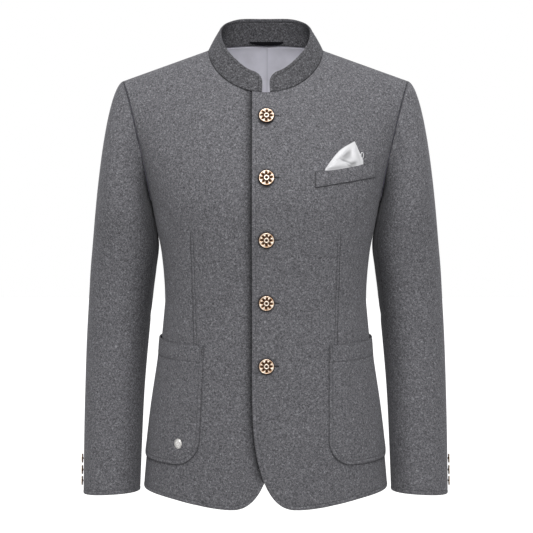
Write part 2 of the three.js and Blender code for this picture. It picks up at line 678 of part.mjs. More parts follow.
// Patch pockets with rounded lower corners
function pocketGrid([topX, bottomX], out) {
  const { top, bottom, width, corner } = PATCH_POCKET;
  const rows = [...POCKET_ROWS.corner.map((share) => corner * share), ...POCKET_ROWS.above, top - bottom];
  return rows.map((height) => {
    const z = bottom + height;
    const fall = Math.max(1 - height / corner, 0);
    const inset = corner * (1 - Math.sqrt(1 - fall ** 2));
    const edge = frontAngle(lerp(bottomX, topX, clamp(height / (top - bottom), 0, 1)), z);
    return steps(13).map((share) => (
      onTorso(angleAlong(edge, z, lerp(inset, width - inset, share)), z, PATCH_GAP + out)
    ));
  });
}

for (const [side, mirrored] of [["left", false], ["right", true]]) {
  const edges = PATCH_POCKET[side];
  add(`pocket_${side}`, wall(pocketGrid(edges, PATCH_CLOTH), pocketGrid(edges, 0), mirrored), wool);
}

// Slanted welt of the breast pocket, and the pocket square that stands behind its upper edge
function onFront(x, z, out) {
  const { angle, level } = frontPlace(x, z);
  return onTorso(angle, level, out);
}

function weltBottom(x) {
  const along = (x - WELT.innerX) / (WELT.outerX - WELT.innerX);
  return lerp(WELT.innerZ, WELT.outerZ, along);
}

function weltGrid(out) {
  return [0, 0.5, 1].map((share) => steps(9).map((along) => {
    const x = lerp(WELT.innerX, WELT.outerX, along);
    return onFront(x, weltBottom(x) + WELT.height * share, PATCH_GAP + out);
  }));
}
add("breast_welt", wall(weltGrid(PATCH_CLOTH), weltGrid(0)), wool);

function squareGrid(out) {
  return [0, 0.33, 0.66, 1].map((share) => POCKET_SQUARE.map(({ x, top }) => {
    const base = weltBottom(x) + WELT.height + SEAM_GAP;
    return onFront(x, lerp(base, top, share), PATCH_GAP + out);
  }));
}
add("pocket_square", wall(squareGrid(SQUARE_CLOTH), squareGrid(0)), silk);

// Round buttons on a short shank, with a raised rim and a domed middle
const BUTTON_PROFILE = [
  { radius: 2.6, height: 0 },
  { radius: 2.6, height: 1.3 },
  { radius: 11, height: 1.3 },
  { radius: 12, height: 2.4 },
  { radius: 10.6, height: 3.6 },
  { radius: 6.4, height: 2.7 },
  { radius: 3, height: 4.2 },
];

function buttonProfile(size) {
  const scale = size / FRONT_BUTTONS.radius;
  return BUTTON_PROFILE.map(({ radius, height }) => ({ radius: radius * scale, height: height * scale }));
}
const UP = vec(0, 0, 1);

FRONT_BUTTONS.heights.forEach((z, i) => {
  const { angle, level } = frontPlace(FRONT_BUTTONS.x, z);
  const base = onTorso(angle, level, LAP.lift + SEAM_GAP);
  const axis = onTorso(angle, level, 10).sub(onTorso(angle, level, 0)).normalize();
  add(`front_button_${i + 1}`, turned(buttonProfile(FRONT_BUTTONS.radius), base, axis, UP), copper);
});

for (const [side, sign] of [["left", 1], ["right", -1]]) {
  CUFF_BUTTONS.heights.forEach((z, i) => {
    const down = 1 + (z - SLEEVE_TOP) / (CUFF.z - SLEEVE_TOP);
    const at = (out) => onSleeve(CUFF_BUTTONS.turn, down, out).multiply(vec(sign, 1, 1));
    const axis = at(10).sub(at(0)).normalize();
    const profile = buttonProfile(CUFF_BUTTONS.radius);
    add(`cuff_button_${side}_${i + 1}`, turned(profile, at(SEAM_GAP), axis, UP, 1, 14), copper);
  });
}

// Plain domed stud on the right pocket
const studAt = (out) => mirrorX(onTorso(frontAngle(STUD.x, STUD.z), STUD.z, out));
const studBase = studAt(PATCH_GAP + PATCH_CLOTH + SEAM_GAP);
const studAxis = studAt(10).sub(studAt(0)).normalize();
const STUD_PROFILE = [
  { radius: STUD.radius, height: 0 },
  { radius: STUD.radius, height: 0.9 },
  { radius: 5.2, height: 1.7 },
  { radius: 3.6, height: 2.5 },
  { radius: 1.7, height: 2.9 },
];
add("pocket_stud", turned(STUD_PROFILE, studBase, studAxis, UP, STUD.stretch), silver);

export default garment;
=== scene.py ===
import bpy
import numpy as np
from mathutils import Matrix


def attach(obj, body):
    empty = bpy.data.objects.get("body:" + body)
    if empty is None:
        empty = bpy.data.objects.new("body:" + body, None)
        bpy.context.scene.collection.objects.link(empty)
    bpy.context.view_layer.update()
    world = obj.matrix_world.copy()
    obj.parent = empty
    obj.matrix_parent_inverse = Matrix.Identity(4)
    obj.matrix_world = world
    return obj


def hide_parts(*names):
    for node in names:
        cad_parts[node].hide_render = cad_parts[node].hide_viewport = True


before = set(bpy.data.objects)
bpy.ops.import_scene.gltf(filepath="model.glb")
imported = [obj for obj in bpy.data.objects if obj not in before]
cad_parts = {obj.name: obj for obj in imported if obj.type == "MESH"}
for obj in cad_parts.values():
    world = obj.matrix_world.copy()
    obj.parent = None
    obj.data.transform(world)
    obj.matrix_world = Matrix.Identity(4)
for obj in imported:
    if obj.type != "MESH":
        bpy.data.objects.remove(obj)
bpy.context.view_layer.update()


# The two fronts
# Each front is one panel of grey melange wool with satin behind it, cut from the shoulder to the hem and
# taken in by a long dart. The left one laps over the right, and topstitching follows the rounded edge. All
# sizes are in millimetres.
CLOTH = 2.2
SEAM_GAP = 0.3
ROUNDNESS = 2.4
ARMPIT = -245.0
UPPER_SPAN = 190.0
TOP = ARMPIT + UPPER_SPAN
TORSO = {
    "z": [-730, -649, -570, -492, -440, -388, -324, -285, -245, -205],
    "half_width": [199, 191.8, 182.5, 170.6, 164.4, 160.8, 165.7, 173, 181, 191],
    "front": [130, 129, 127, 125, 125, 127, 132, 136, 139, 139],
    "back": [132, 130, 121, 107, 100, 98, 104, 111, 118, 120],
}
NECK = {
    "half_width": 91,
    "middle_y": 5,
    "front": 80,
    "back": 57,
    "side_z": -3.8,
    "front_drop": 65,
    "back_rise": 10,
}
SHOULDER = {"tip_x": 225, "tip_z": -51.8, "seam_y": 5, "bow": 30, "reach": 150}
NECK_REACH = 88.0
TIP_ANGLE = 75.0
CROWN_BLUR = {"reach": [-1, -0.5, 0, 0.5, 1], "weight": [0.1, 0.24, 0.32, 0.24, 0.1]}
CROWN_SPREAD = np.radians(26)
ARMHOLE = {
    "rise": [0, 0.012, 0.04, 0.09, 0.18, 0.3, 0.42, 0.54, 0.66, 0.77, 0.87, 0.945, 0.985, 1],
    "front": [95, 90.8, 86.6, 82.6, 79, 77.2, 76, 74.9, 74.4, 74.35, 74.5, 74.8, 75, 75],
    "back": [95, 100.5, 106, 110.5, 113.5, 114.5, 114.2, 113.2, 111.5, 109.5, 107.7, 106.3, 105.3, 105],
}
SIDE_SEAM = {"armpit": 95, "hem": 112, "drop": 170}
HEM = {"side": -700, "front": -714.7, "back": -703, "front_x": 50, "side_x": 192, "back_y": 120}
CUTAWAY = {"top": -525, "width": 73.5, "exponent": 2.5}
LAP = {"over": 20.8, "under": 17, "lift": 1.5, "flat": 20, "fade": 30}
BUTTONS = {"x": 1.4, "heights": [-105, -197.5, -292, -390, -488.5], "radius": 12.0}
SEAM_COLUMNS = np.array([0, 0.35, 0.9, 1.8, 3.2])
STITCHED_COLUMNS = np.array([0, 0.35, 0.9, 1.8, 3.2, 4.4, 5.2, 5.8, 6.4, 7.2, 8.6])
STITCH = {"inset": 6.0, "length": 3.0, "pitch": 4.2, "radius": 0.34, "sunk": 0.3}
GROOVE = {"depth": 0.42, "width": 0.75, "ridge": 0.3, "ridge_at": 3, "ridge_width": 1.6}
THINNEST = 0.25
DART = {
    "x": 117.4,
    "slope": 0.0255,
    "top": -240,
    "fade": 50,
    "bottom": -470,
    "second": 4.6,
    "pinch": 0.9,
    "width": 6,
    # tone: how dark the painted shade along the dart's lines is
    "tone": 0.62,
}


def smooth(t):
    """The rise 3t² - 2t³ from 0 to 1, level outside that."""
    t = np.clip(t, 0, 1)
    return t * t * (3 - 2 * t)


def lerp(start, end, share):
    """The value at a share of the way from one to another."""
    return start + (end - start) * share


def cubic(start, start_slope, end, end_slope, t):
    """The cubic between two values that has the given slope at each of them."""
    t2 = t * t
    t3 = t2 * t
    ends = (2 * t3 - 3 * t2 + 1) * start + (3 * t2 - 2 * t3) * end
    return ends + (t3 - 2 * t2 + t) * start_slope + (t3 - t2) * end_slope


def along_table(table, along, column, at):
    """A table's column read at a place: a cubic between rows, sloped at each row like the line past it."""
    x = np.array(table[along], float)
    y = np.array(table[column], float)
    at = np.clip(at, x[0], x[-1])
    left = np.clip(np.searchsorted(x, at) - 1, 0, len(x) - 2)
    before = np.maximum(np.arange(len(x)) - 1, 0)
    after = np.minimum(np.arange(len(x)) + 1, len(x) - 1)
    slope = (y[after] - y[before]) / (x[after] - x[before])
    width = x[left + 1] - x[left]
    return cubic(y[left], slope[left] * width, y[left + 1], slope[left + 1] * width, (at - x[left]) / width)


def point(x, y, z):
    """Arrays of x, y and z put together as points."""
    return np.stack(np.broadcast_arrays(x, y, z), axis=-1).astype(float)


def oval(angle, half_across, half_along, roundness):
    """A rounded oval by its angle: |across / half|^n + |along / half|^n = 1."""
    across = np.sin(angle)
    along = np.cos(angle)
    size = (np.abs(across) / half_across) ** roundness + (np.abs(along) / half_along) ** roundness
    radius = size ** (-1 / roundness)
    return radius * across, radius * along


def body_ring(angle, z):
    """A level section of the body: a rounded oval whose width and depths come from the table of the torso."""
    front = along_table(TORSO, "z", "front", z)
    back = along_table(TORSO, "z", "back", z)
    depth = np.where(np.cos(angle) > 0, front, back)
    across, along = oval(angle, along_table(TORSO, "z", "half_width", z), depth, ROUNDNESS)
    return point(across, -along, z)


def neckline(turn):
    """The neck seam by its turn from the centre front: an oval, low in front and high at the back."""
    to_front = np.cos(turn)
    is_front = to_front > 0
    drop = -NECK["front_drop"] * np.maximum(to_front, 0) ** 1.15
    height = np.where(is_front, drop, -NECK["back_rise"] * to_front)
    depth = np.where(is_front, NECK["front"], NECK["back"])
    y = NECK["middle_y"] - depth * to_front
    return point(NECK["half_width"] * np.sin(turn), y, NECK["side_z"] + height)


def ring_angle(x, z, depth):
    """The angle, from the nearer centre line, at which the section at a height reaches an x."""
    half = along_table(TORSO, "z", "half_width", z)
    rest = np.maximum(1 - np.abs(x / half) ** ROUNDNESS, 0)
    return np.arctan2(x, depth * rest ** (1 / ROUNDNESS))


def neck_angle(turn):
    """The angle on the torso that runs up to a turn of the neck seam."""
    reach = NECK_REACH * np.abs(np.sin(turn))
    front = ring_angle(reach, ARMPIT, along_table(TORSO, "z", "front", ARMPIT))
    back = np.pi - ring_angle(reach, ARMPIT, along_table(TORSO, "z", "back", ARMPIT))
    return np.where(np.cos(turn) > -1e-9, front, back)


NECK_FRONT = float(neck_angle(np.pi / 2))
NECK_BACK = float(neck_angle(np.pi / 2 + 1e-6))


def crown(angle):
    """Where the cloth at an angle ends above, on the neck seam or the shoulder seam, and how it arrives."""
    is_front = angle < np.pi / 2
    direction = np.where(is_front, 1, -1)
    seam = np.where(is_front, NECK_FRONT, NECK_BACK)
    tip = np.radians(np.where(is_front, TIP_ANGLE, 180 - TIP_ANGLE))
    share = (angle - seam) / (tip - seam)
    sideways = np.arcsin(np.clip(body_ring(angle, ARMPIT)[..., 0] / NECK_REACH, 0, 1))
    to_side = 1 - np.cos(sideways)
    lean = np.radians(lerp(np.where(is_front, 38, 42), 90, to_side))
    length = lerp(np.where(is_front, 105, 110), SHOULDER["reach"], to_side)
    neck = neckline(np.where(is_front, sideways, np.pi - sideways))
    neck_slope = point(0, direction * length * np.sin(lean), length * np.cos(lean))
    along = np.clip(share, 0, 1)
    shoulder_x = lerp(NECK["half_width"], SHOULDER["tip_x"], along)
    shoulder_z = lerp(NECK["side_z"], SHOULDER["tip_z"], along)
    shoulder = point(shoulder_x, SHOULDER["seam_y"], shoulder_z)
    shoulder_slope = point(-SHOULDER["bow"] * along, direction * SHOULDER["reach"], 0)
    at_neck = (share <= 0)[..., None]
    return np.where(at_neck, neck, shoulder), np.where(at_neck, neck_slope, shoulder_slope)


def soft_crown(angle, spread):
    """The same averaged over five angles, so that the corner at the side of the neck fades out below it."""
    ends = 0
    slopes = 0
    for reach, weight in zip(CROWN_BLUR["reach"], CROWN_BLUR["weight"]):
        place = angle + reach * spread
        mirrored = (place < 0) | (place > np.pi)
        place = np.where(place < 0, -place, np.minimum(place, 2 * np.pi - place))
        end, slope = crown(place)
        flip = np.where(mirrored[..., None], np.array([-1, 1, 1]), 1)
        ends = ends + end * flip * weight
        slopes = slopes + slope * flip * weight
    return ends, slopes


def torso(angle, level):
    """The body by angle and level: level rings below the armpit, and above it a cubic up to the crown."""
    angle, level = (np.atleast_1d(a).astype(float) for a in np.broadcast_arrays(angle, level))
    half = np.abs(angle)
    places = body_ring(half, np.minimum(level, ARMPIT))
    above = level > ARMPIT
    if above.any():
        rise = (level[above] - ARMPIT) / UPPER_SPAN
        ring = body_ring(half[above], ARMPIT)
        upward = (ring - body_ring(half[above], ARMPIT - 1)) * UPPER_SPAN
        ends, slopes = soft_crown(half[above], CROWN_SPREAD * (1 - rise))
        places[above] = cubic(ring, upward, ends, slopes, rise[:, None])
    places[..., 0] *= np.where(angle < 0, -1, 1)
    return places


def outward(surface, u, v, step_u, step_v):
    """The unit normal of a surface: the cross product of its changes over a short step each way."""
    along_u = surface(u + step_u, v) - surface(u - step_u, v)
    along_v = surface(u, v + step_v) - surface(u, v - step_v)
    normal = np.cross(along_u, along_v)
    return normal / np.linalg.norm(normal, axis=-1, keepdims=True)


def torso_normal(angle, level):
    """The outward direction of the torso, kept just below the seams where the surface ends."""
    angle, level = np.broadcast_arrays(angle, level)
    return outward(torso, angle, np.minimum(level, TOP - 0.6), 0.004, 0.5)


def moved(surface, normals, out):
    """Points moved along their normals by a distance each."""
    return surface + normals * np.asarray(out, float)[..., None]


def front_angle(x, level):
    """The angle at which the front of the torso has an x at a level, by halving the interval thirty times."""
    x, level = (np.atleast_1d(a).astype(float) for a in np.broadcast_arrays(x, level))
    low = np.zeros_like(x)
    high = np.full_like(x, np.pi / 2)
    for _ in range(30):
        middle = (low + high) / 2
        is_short = torso(middle, level)[..., 0] < np.abs(x)
        low = np.where(is_short, middle, low)
        high = np.where(is_short, high, middle)
    return np.where(x < 0, -middle, middle)


def front_place(x, z):
    """The angle and level of a place on the front given by x and z, by six rounds of Newton's method."""
    x, z = (np.atleast_1d(a).astype(float) for a in np.broadcast_arrays(x, z))
    low_z = np.minimum(z, ARMPIT)
    angle = ring_angle(x, low_z, along_table(TORSO, "z", "front", low_z))
    level = z.copy()
    for _ in range(6):
        here = torso(angle, level)
        by_angle = (torso(angle + 1e-3, level) - here) / 1e-3
        by_level = (torso(angle, level + 0.1) - here) / 0.1
        miss_x = x - here[..., 0]
        miss_z = z - here[..., 2]
        area = by_angle[..., 0] * by_level[..., 2] - by_angle[..., 2] * by_level[..., 0]
        angle = angle + (miss_x * by_level[..., 2] - miss_z * by_level[..., 0]) / area
        level = level + (by_angle[..., 0] * miss_z - by_angle[..., 2] * miss_x) / area
    return angle, level


def hem_height(angle):
    """Height of the lower edge at an angle, a little longer towards the centre front."""
    ring = body_ring(np.abs(angle), HEM["side"])
    to_side = smooth((ring[..., 0] - HEM["front_x"]) / (HEM["side_x"] - HEM["front_x"]))
    front = lerp(HEM["front"], HEM["side"], to_side)
    back = lerp(HEM["side"], HEM["back"], smooth(ring[..., 1] / HEM["back_y"]))
    return np.where(ring[..., 1] > 0, back, front)


def cutaway_at(z):
    """How far the front edge is cut away at a height: a rounded corner, (1 - w/W)^n + fall^n = 1."""
    fall = np.clip((CUTAWAY["top"] - z) / (CUTAWAY["top"] - HEM["front"]), 0, 1)
    n = CUTAWAY["exponent"]
    return CUTAWAY["width"] * (1 - (1 - fall**n) ** (1 / n))


def cutaway_height(inset):
    """The same corner read the other way: the height of its edge at a distance in from the straight edge."""
    n = CUTAWAY["exponent"]
    left = np.clip(1 - inset / CUTAWAY["width"], 0, 1)
    return CUTAWAY["top"] - (1 - left**n) ** (1 / n) * (CUTAWAY["top"] - HEM["front"])


def side_angle(level):
    """The side seam's angle at a level: it swings towards the back below the armpit."""
    swing = smooth((ARMPIT - level) / SIDE_SEAM["drop"])
    return np.radians(lerp(SIDE_SEAM["armpit"], SIDE_SEAM["hem"], swing))


def lap_offset(x, is_over):
    """Lift of the upper front and drop of the under one where they lap, fading out to the side."""
    fade = 1 - smooth((np.abs(x) - LAP["flat"]) / LAP["fade"])
    return (LAP["lift"] if is_over else -LAP["lift"]) * fade


def corner_distance(across, along):
    """Distance from a slanting edge, by how far it is across and along: their product over the diagonal."""
    across = np.maximum(across, 0)
    along = np.maximum(along, 0)
    return across * along / np.maximum(np.hypot(across, along), 1e-6)


def arc_from(points, axis, reverse=False):
    """Distance along a grid's lines from their start, or from their end."""
    steps = np.linalg.norm(np.diff(points, axis=axis), axis=-1)
    if reverse:
        steps = np.flip(steps, axis)
    total = np.cumsum(steps, axis=axis)
    pad = [(0, 0), (0, 0)]
    pad[axis] = (1, 0)
    total = np.pad(total, pad)
    return np.flip(total, axis) if reverse else total


def spaced(length, first, last, step):
    """Places from 0 to a length: given ones at both ends and even steps of about the given size between."""
    count = max(int((np.max(length) - first[-1] - last[-1]) / step), 1)
    length = np.asarray(length, float)[..., None]
    middle = lerp(first[-1], length - last[-1], np.arange(1, count) / count)
    ends = np.broadcast_to(first, length.shape[:-1] + first.shape)
    return np.concatenate([ends, middle, length - last[::-1]], axis=-1)


# How cloth is built up round its middle: a rolled edge, and a groove where topstitching draws it in
def roll(distance, thickness):
    """Share of the full thickness near an edge: a quarter circle, never under the thinnest share."""
    reach = np.clip(distance / (thickness / 2), 0, 1)
    return np.maximum(np.sqrt(1 - (1 - reach) ** 2), THINNEST)


def bell(distance, width):
    """1 at no distance, falling off as exp(-(distance / width)^2)."""
    return np.exp(-((distance / width) ** 2))


def stitch_relief(distance):
    """Height of topstitched cloth: a narrow groove at the stitches and a soft ridge outside them."""
    groove = GROOVE["depth"] * bell(distance - STITCH["inset"], GROOVE["width"])
    ridge = GROOVE["ridge"] * bell(distance - GROOVE["ridge_at"], GROOVE["ridge_width"])
    return ridge - groove


def sheet_faces(rows, columns):
    """Four-cornered faces of a closed wall: an outer grid, an inner one turned round, and their rim."""
    index = np.arange(rows * columns).reshape(rows, columns)
    outer = np.stack([index[:-1, :-1], index[:-1, 1:], index[1:, 1:], index[1:, :-1]], axis=-1).reshape(-1, 4)
    inner = outer[:, ::-1] + rows * columns
    loop = np.concatenate([index[0, :-1], index[:-1, -1], index[-1, :0:-1], index[:0:-1, 0]])
    after = np.roll(loop, -1)
    rim = np.stack([loop + rows * columns, after + rows * columns, after, loop], axis=-1)
    return np.concatenate([outer, inner, rim]), len(outer)


def make_object(name, points, faces, materials, face_slots=None, marks=None, sharp=50):
    """An object at the origin from points in millimetres, its faces, and numbers kept at its points."""
    mesh = bpy.data.meshes.new(name)
    mesh.from_pydata((points.reshape(-1, 3) * 0.001).tolist(), [], [list(f) for f in faces])
    for material in materials:
        mesh.materials.append(material)
    if face_slots is not None:
        mesh.polygons.foreach_set("material_index", np.asarray(face_slots, np.int32))
    for mark, values in (marks or {}).items():
        layer = mesh.attributes.new(mark, "FLOAT", "POINT")
        layer.data.foreach_set("value", np.asarray(values, np.float32).ravel())
    mesh.shade_smooth()
    mesh.set_sharp_from_angle(angle=np.radians(sharp))
    obj = bpy.data.objects.new(name, mesh)
    bpy.context.scene.collection.objects.link(obj)
    return obj


def cloth_piece(name, outer, inner, mirrored, materials, facing=None, **marks):
    """A closed piece of cloth between two grids. The second material is on its inner side, past the facing.

    Marks are numbers kept at the points for the cloth's shader: the distance from a stitched edge and from a
    dart in millimetres, and the share of painted shade that darkens the cloth in a crevice, from 0 to 1. A
    pair holds both sides.
    """
    rows, columns = outer.shape[:2]
    faces, outer_count = sheet_faces(rows, columns)
    points = np.concatenate([outer.reshape(-1, 3), inner.reshape(-1, 3)])
    if mirrored:
        points = points * np.array([-1, 1, 1])
        faces = faces[:, ::-1]
    slots = np.zeros(len(faces), int)
    if len(materials) > 1:
        is_lined = np.ones((rows - 1, columns - 1), bool) if facing is None else facing[:-1, :-1]
        slots[outer_count : 2 * outer_count] = is_lined.ravel()
    kept = {}
    for mark, usual in (("edge", 50.0), ("dart", 50.0), ("shade", 0.0)):
        given = marks.get(mark, usual)
        sides = given if isinstance(given, tuple) else (given, given if mark == "edge" else usual)
        kept[mark] = [np.broadcast_to(side, (rows, columns)) for side in sides]
    return make_object(name, points, faces.tolist(), materials, slots, kept)


def thread_row(name, places, normals, material, length=STITCH["length"], radius=STITCH["radius"]):
    """A row of short rounded stitches along a path: a five-sided bar at each place, narrow at both ends."""
    ahead = np.roll(places, -1, axis=0) - np.roll(places, 1, axis=0)
    ahead[0] = places[1] - places[0]
    ahead[-1] = places[-1] - places[-2]
    ahead /= np.linalg.norm(ahead, axis=-1, keepdims=True)
    across = np.cross(normals, ahead)
    across /= np.linalg.norm(across, axis=-1, keepdims=True)
    shares = np.array([-0.5, -0.38, 0, 0.38, 0.5])
    widths = np.array([0.15, 0.8, 1, 0.8, 0.15]) * radius
    sinks = np.array([-1.2, -0.2, 0, -0.2, -1.2]) * radius
    turns = np.radians([0, 72, 144, 216, 288])
    middle = places[:, None] + ahead[:, None] * (shares * length)[:, None] + normals[:, None] * sinks[:, None]
    side = across[:, None, None] * (widths[:, None] * np.cos(turns))[..., None]
    up = normals[:, None, None] * (widths[:, None] * np.sin(turns))[..., None]
    points = (middle[:, :, None] + side + up).reshape(-1, 3)
    ring = np.arange(25).reshape(5, 5)
    after = np.roll(ring, -1, axis=1)
    walls = np.stack([ring[:-1], after[:-1], after[1:], ring[1:]], axis=-1)
    starts = np.arange(len(places)) * 25
    quads = (walls.reshape(-1, 4)[None] + starts[:, None, None]).reshape(-1, 4)
    ends = np.stack([ring[0][::-1], ring[-1]])
    caps = (ends[None] + starts[:, None, None]).reshape(-1, 5)
    return make_object(name, points, quads[:, ::-1].tolist() + caps[:, ::-1].tolist(), [material], sharp=80)


def stitch_steps(path, *values):
    """Values kept along a path, read where the stitches sit on it: its running length in even steps."""
    lengths = np.concatenate([[0], np.cumsum(np.linalg.norm(np.diff(path, axis=0), axis=-1))])
    count = max(int(lengths[-1] / STITCH["pitch"]), 2)
    place = np.arange(len(path))
    steps = np.interp((np.arange(count) + 0.5) * lengths[-1] / count, lengths, place)
    return [np.interp(steps, place, value) for value in values]


def left_or_right(mirrored):
    """What a place on the wearer's left is multiplied by: 1, or -1 in x to mirror it to the right."""
    return np.array([-1 if mirrored else 1, 1, 1])


def torso_stitches(name, angle, level, out, mirrored, material, **size):
    """A row of stitches at angles and levels of the body, moved out of its smooth surface."""
    flip = left_or_right(mirrored)
    normals = torso_normal(angle, level)
    places = moved(torso(angle, level), normals, out)
    return thread_row(name, places * flip, normals * flip, material, **size)


# Melange wool: dark and light fibres felted together, with a dull nap
def new_material(name):
    """A material with only its output and a principled shader, and its node tree."""
    material = bpy.data.materials.new(name)
    material.use_nodes = True
    tree = material.node_tree
    tree.nodes.clear()
    output = tree.nodes.new("ShaderNodeOutputMaterial")
    shader = tree.nodes.new("ShaderNodeBsdfPrincipled")
    tree.links.new(shader.outputs["BSDF"], output.inputs["Surface"])
    return material, tree, shader


def noise(tree, source, scale, detail, rough, distortion=0.0):
    """A noise pattern on the given coordinates, its scale in cells per metre."""
    texture = tree.nodes.new("ShaderNodeTexNoise")
    texture.inputs["Scale"].default_value = scale
    texture.inputs["Detail"].default_value = detail
    texture.inputs["Roughness"].default_value = rough
    texture.inputs["Distortion"].default_value = distortion
    tree.links.new(source, texture.inputs["Vector"])
    return texture.outputs["Fac"]


def maths(tree, operation, first, second=None, third=None):
    """A Math node on numbers or sockets."""
    node = tree.nodes.new("ShaderNodeMath")
    node.operation = operation
    for place, value in enumerate((first, second, third)):
        if value is None:
            continue
        if isinstance(value, (int, float)):
            node.inputs[place].default_value = value
        else:
            tree.links.new(value, node.inputs[place])
    return node.outputs[0]


def ramp(tree, value, stops):
    """A colour ramp through stops of place and linear colour."""
    node = tree.nodes.new("ShaderNodeValToRGB")
    elements = node.color_ramp.elements
    while len(elements) < len(stops):
        elements.new(0.5)
    for element, (place, colour) in zip(elements, stops):
        element.position = place
        element.color = (*colour, 1)
    tree.links.new(value, node.inputs[0])
    return node.outputs[0]


def bump(tree, height, strength, distance, normal=None):
    """A bump from a height, in metres of distance."""
    node = tree.nodes.new("ShaderNodeBump")
    node.inputs["Strength"].default_value = strength
    node.inputs["Distance"].default_value = distance
    tree.links.new(height, node.inputs["Height"])
    if normal is not None:
        tree.links.new(normal, node.inputs["Normal"])
    return node.outputs[0]


def mark_line(tree, mark, place, width):
    """1 on the line where a mark kept at the points has a value, falling to 0 at a width from it."""
    layer = tree.nodes.new("ShaderNodeAttribute")
    layer.attribute_name = mark
    away = maths(tree, "ABSOLUTE", maths(tree, "SUBTRACT", layer.outputs["Fac"], place))
    node = tree.nodes.new("ShaderNodeMapRange")
    node.interpolation_type = "SMOOTHSTEP"
    node.inputs["From Min"].default_value = 0
    node.inputs["From Max"].default_value = width
    node.inputs["To Min"].default_value = 1
    node.inputs["To Max"].default_value = 0
    tree.links.new(away, node.inputs["Value"])
    return node.outputs[0]


def shaded(tree, colour, extra=None):
    """A colour darkened by painted shade: the share kept at the points as the shade mark, or a further share
    where larger.
    """
    layer = tree.nodes.new("ShaderNodeAttribute")
    layer.attribute_name = "shade"
    share = layer.outputs["Fac"] if extra is None else maths(tree, "MAXIMUM", layer.outputs["Fac"], extra)
    node = tree.nodes.new("ShaderNodeMix")
    node.data_type = "RGBA"
    node.blend_type = "MULTIPLY"
    tree.links.new(share, node.inputs["Factor"])
    tree.links.new(colour, node.inputs["A"])
    node.inputs["B"].default_value = (0.05, 0.05, 0.052, 1)
    return node.outputs["Result"]


def wool_material(name, tone, stitching):
    """Melange wool: three sizes of noise add up to the height of the nap and to the mix of fibres.

    Lines of stitching and the dart's two lines lie lower, and painted shade darkens them, unevenly where the
    tufts cover them. The shade mark kept at the points adds painted shade too.
    """
    material, tree, shader = new_material(name)
    place = tree.nodes.new("ShaderNodeTexCoord").outputs["Object"]
    cloud = noise(tree, place, 400, 2, 0.6, 0.6)
    tuft = noise(tree, place, 850, 2, 0.6, 1.2)
    fibre = noise(tree, place, 2000, 3, 0.65, 2.5)
    mix = maths(tree, "MULTIPLY", cloud, 0.42)
    mix = maths(tree, "MULTIPLY_ADD", tuft, 0.33, mix)
    mix = maths(tree, "MULTIPLY_ADD", fibre, 0.25, mix)
    # Painted shade of the grooves along the stitching and along the dart's two lines
    line = maths(tree, "MULTIPLY", mark_line(tree, "edge", STITCH["inset"], 1.0), stitching)
    second = mark_line(tree, "dart", -DART["second"], 1.0)
    dart = maths(tree, "MAXIMUM", mark_line(tree, "dart", 0, 1.5), second)
    dart = maths(tree, "MULTIPLY", dart, DART["tone"])
    worn = maths(tree, "MULTIPLY_ADD", maths(tree, "SUBTRACT", tuft, 0.5), 1.6, 0.8)
    sunk = maths(tree, "MULTIPLY", maths(tree, "MAXIMUM", line, dart), worn)
    black, dark, middle, light, pale = tone
    colour = ramp(tree, mix, [(0.37, black), (0.43, dark), (0.5, middle), (0.57, light), (0.63, pale)])
    tree.links.new(shaded(tree, colour, sunk), shader.inputs["Base Color"])
    height = maths(tree, "MULTIPLY_ADD", sunk, -1.2, mix)
    tree.links.new(bump(tree, height, 0.75, 0.0009), shader.inputs["Normal"])
    shader.inputs["Roughness"].default_value = 0.95
    shader.inputs["Specular IOR Level"].default_value = 0.15
    shader.inputs["Sheen Weight"].default_value = 0.22
    shader.inputs["Sheen Roughness"].default_value = 0.5
    shader.inputs["Sheen Tint"].default_value = (0.8, 0.8, 0.85, 1)
    return material


WOOL_TONES = np.array([
    [0.045, 0.0445, 0.048],
    [0.092, 0.091, 0.098],
    [0.148, 0.147, 0.159],
    [0.24, 0.238, 0.256],
    [0.4, 0.398, 0.42],
])
wool = wool_material("melange wool", WOOL_TONES.tolist(), 0.3)


def satin_material(name, colour, roughness, weave):
    """Satin: one colour with a soft gloss, broken by a fine weave and faint uneven pressing, and darkened by
    the painted shade kept at its points.
    """
    material, tree, shader = new_material(name)
    place = tree.nodes.new("ShaderNodeTexCoord").outputs["Object"]
    threads = noise(tree, place, weave, 2, 0.5)
    pressing = noise(tree, place, 28, 3, 0.5)
    dark = tuple(0.86 * c for c in colour)
    tint = ramp(tree, pressing, [(0.3, dark), (0.62, colour)])
    tree.links.new(shaded(tree, tint), shader.inputs["Base Color"])
    soft = bump(tree, pressing, 0.25, 0.002)
    tree.links.new(bump(tree, threads, 0.25, 0.0002, soft), shader.inputs["Normal"])
    shader.inputs["Roughness"].default_value = roughness
    shader.inputs["Specular IOR Level"].default_value = 0.5
    shader.inputs["Sheen Weight"].default_value = 0.15
    return material


lining_satin = satin_material("lining satin", (0.88, 0.87, 0.96), 0.38, 2600)


def thread_material(name, colour):
    """Sewing thread: one colour, twisted so that fine ridges cross it."""
    material, tree, shader = new_material(name)
    place = tree.nodes.new("ShaderNodeTexCoord").outputs["Object"]
    twist = noise(tree, place, 3800, 1, 0.5)
    dark = tuple(0.6 * c for c in colour)
    tree.links.new(ramp(tree, twist, [(0.35, dark), (0.65, colour)]), shader.inputs["Base Color"])
    tree.links.new(bump(tree, twist, 0.4, 0.0002), shader.inputs["Normal"])
    shader.inputs["Roughness"].default_value = 0.7
    return material


grey_thread = thread_material("grey thread", (0.14, 0.14, 0.15))

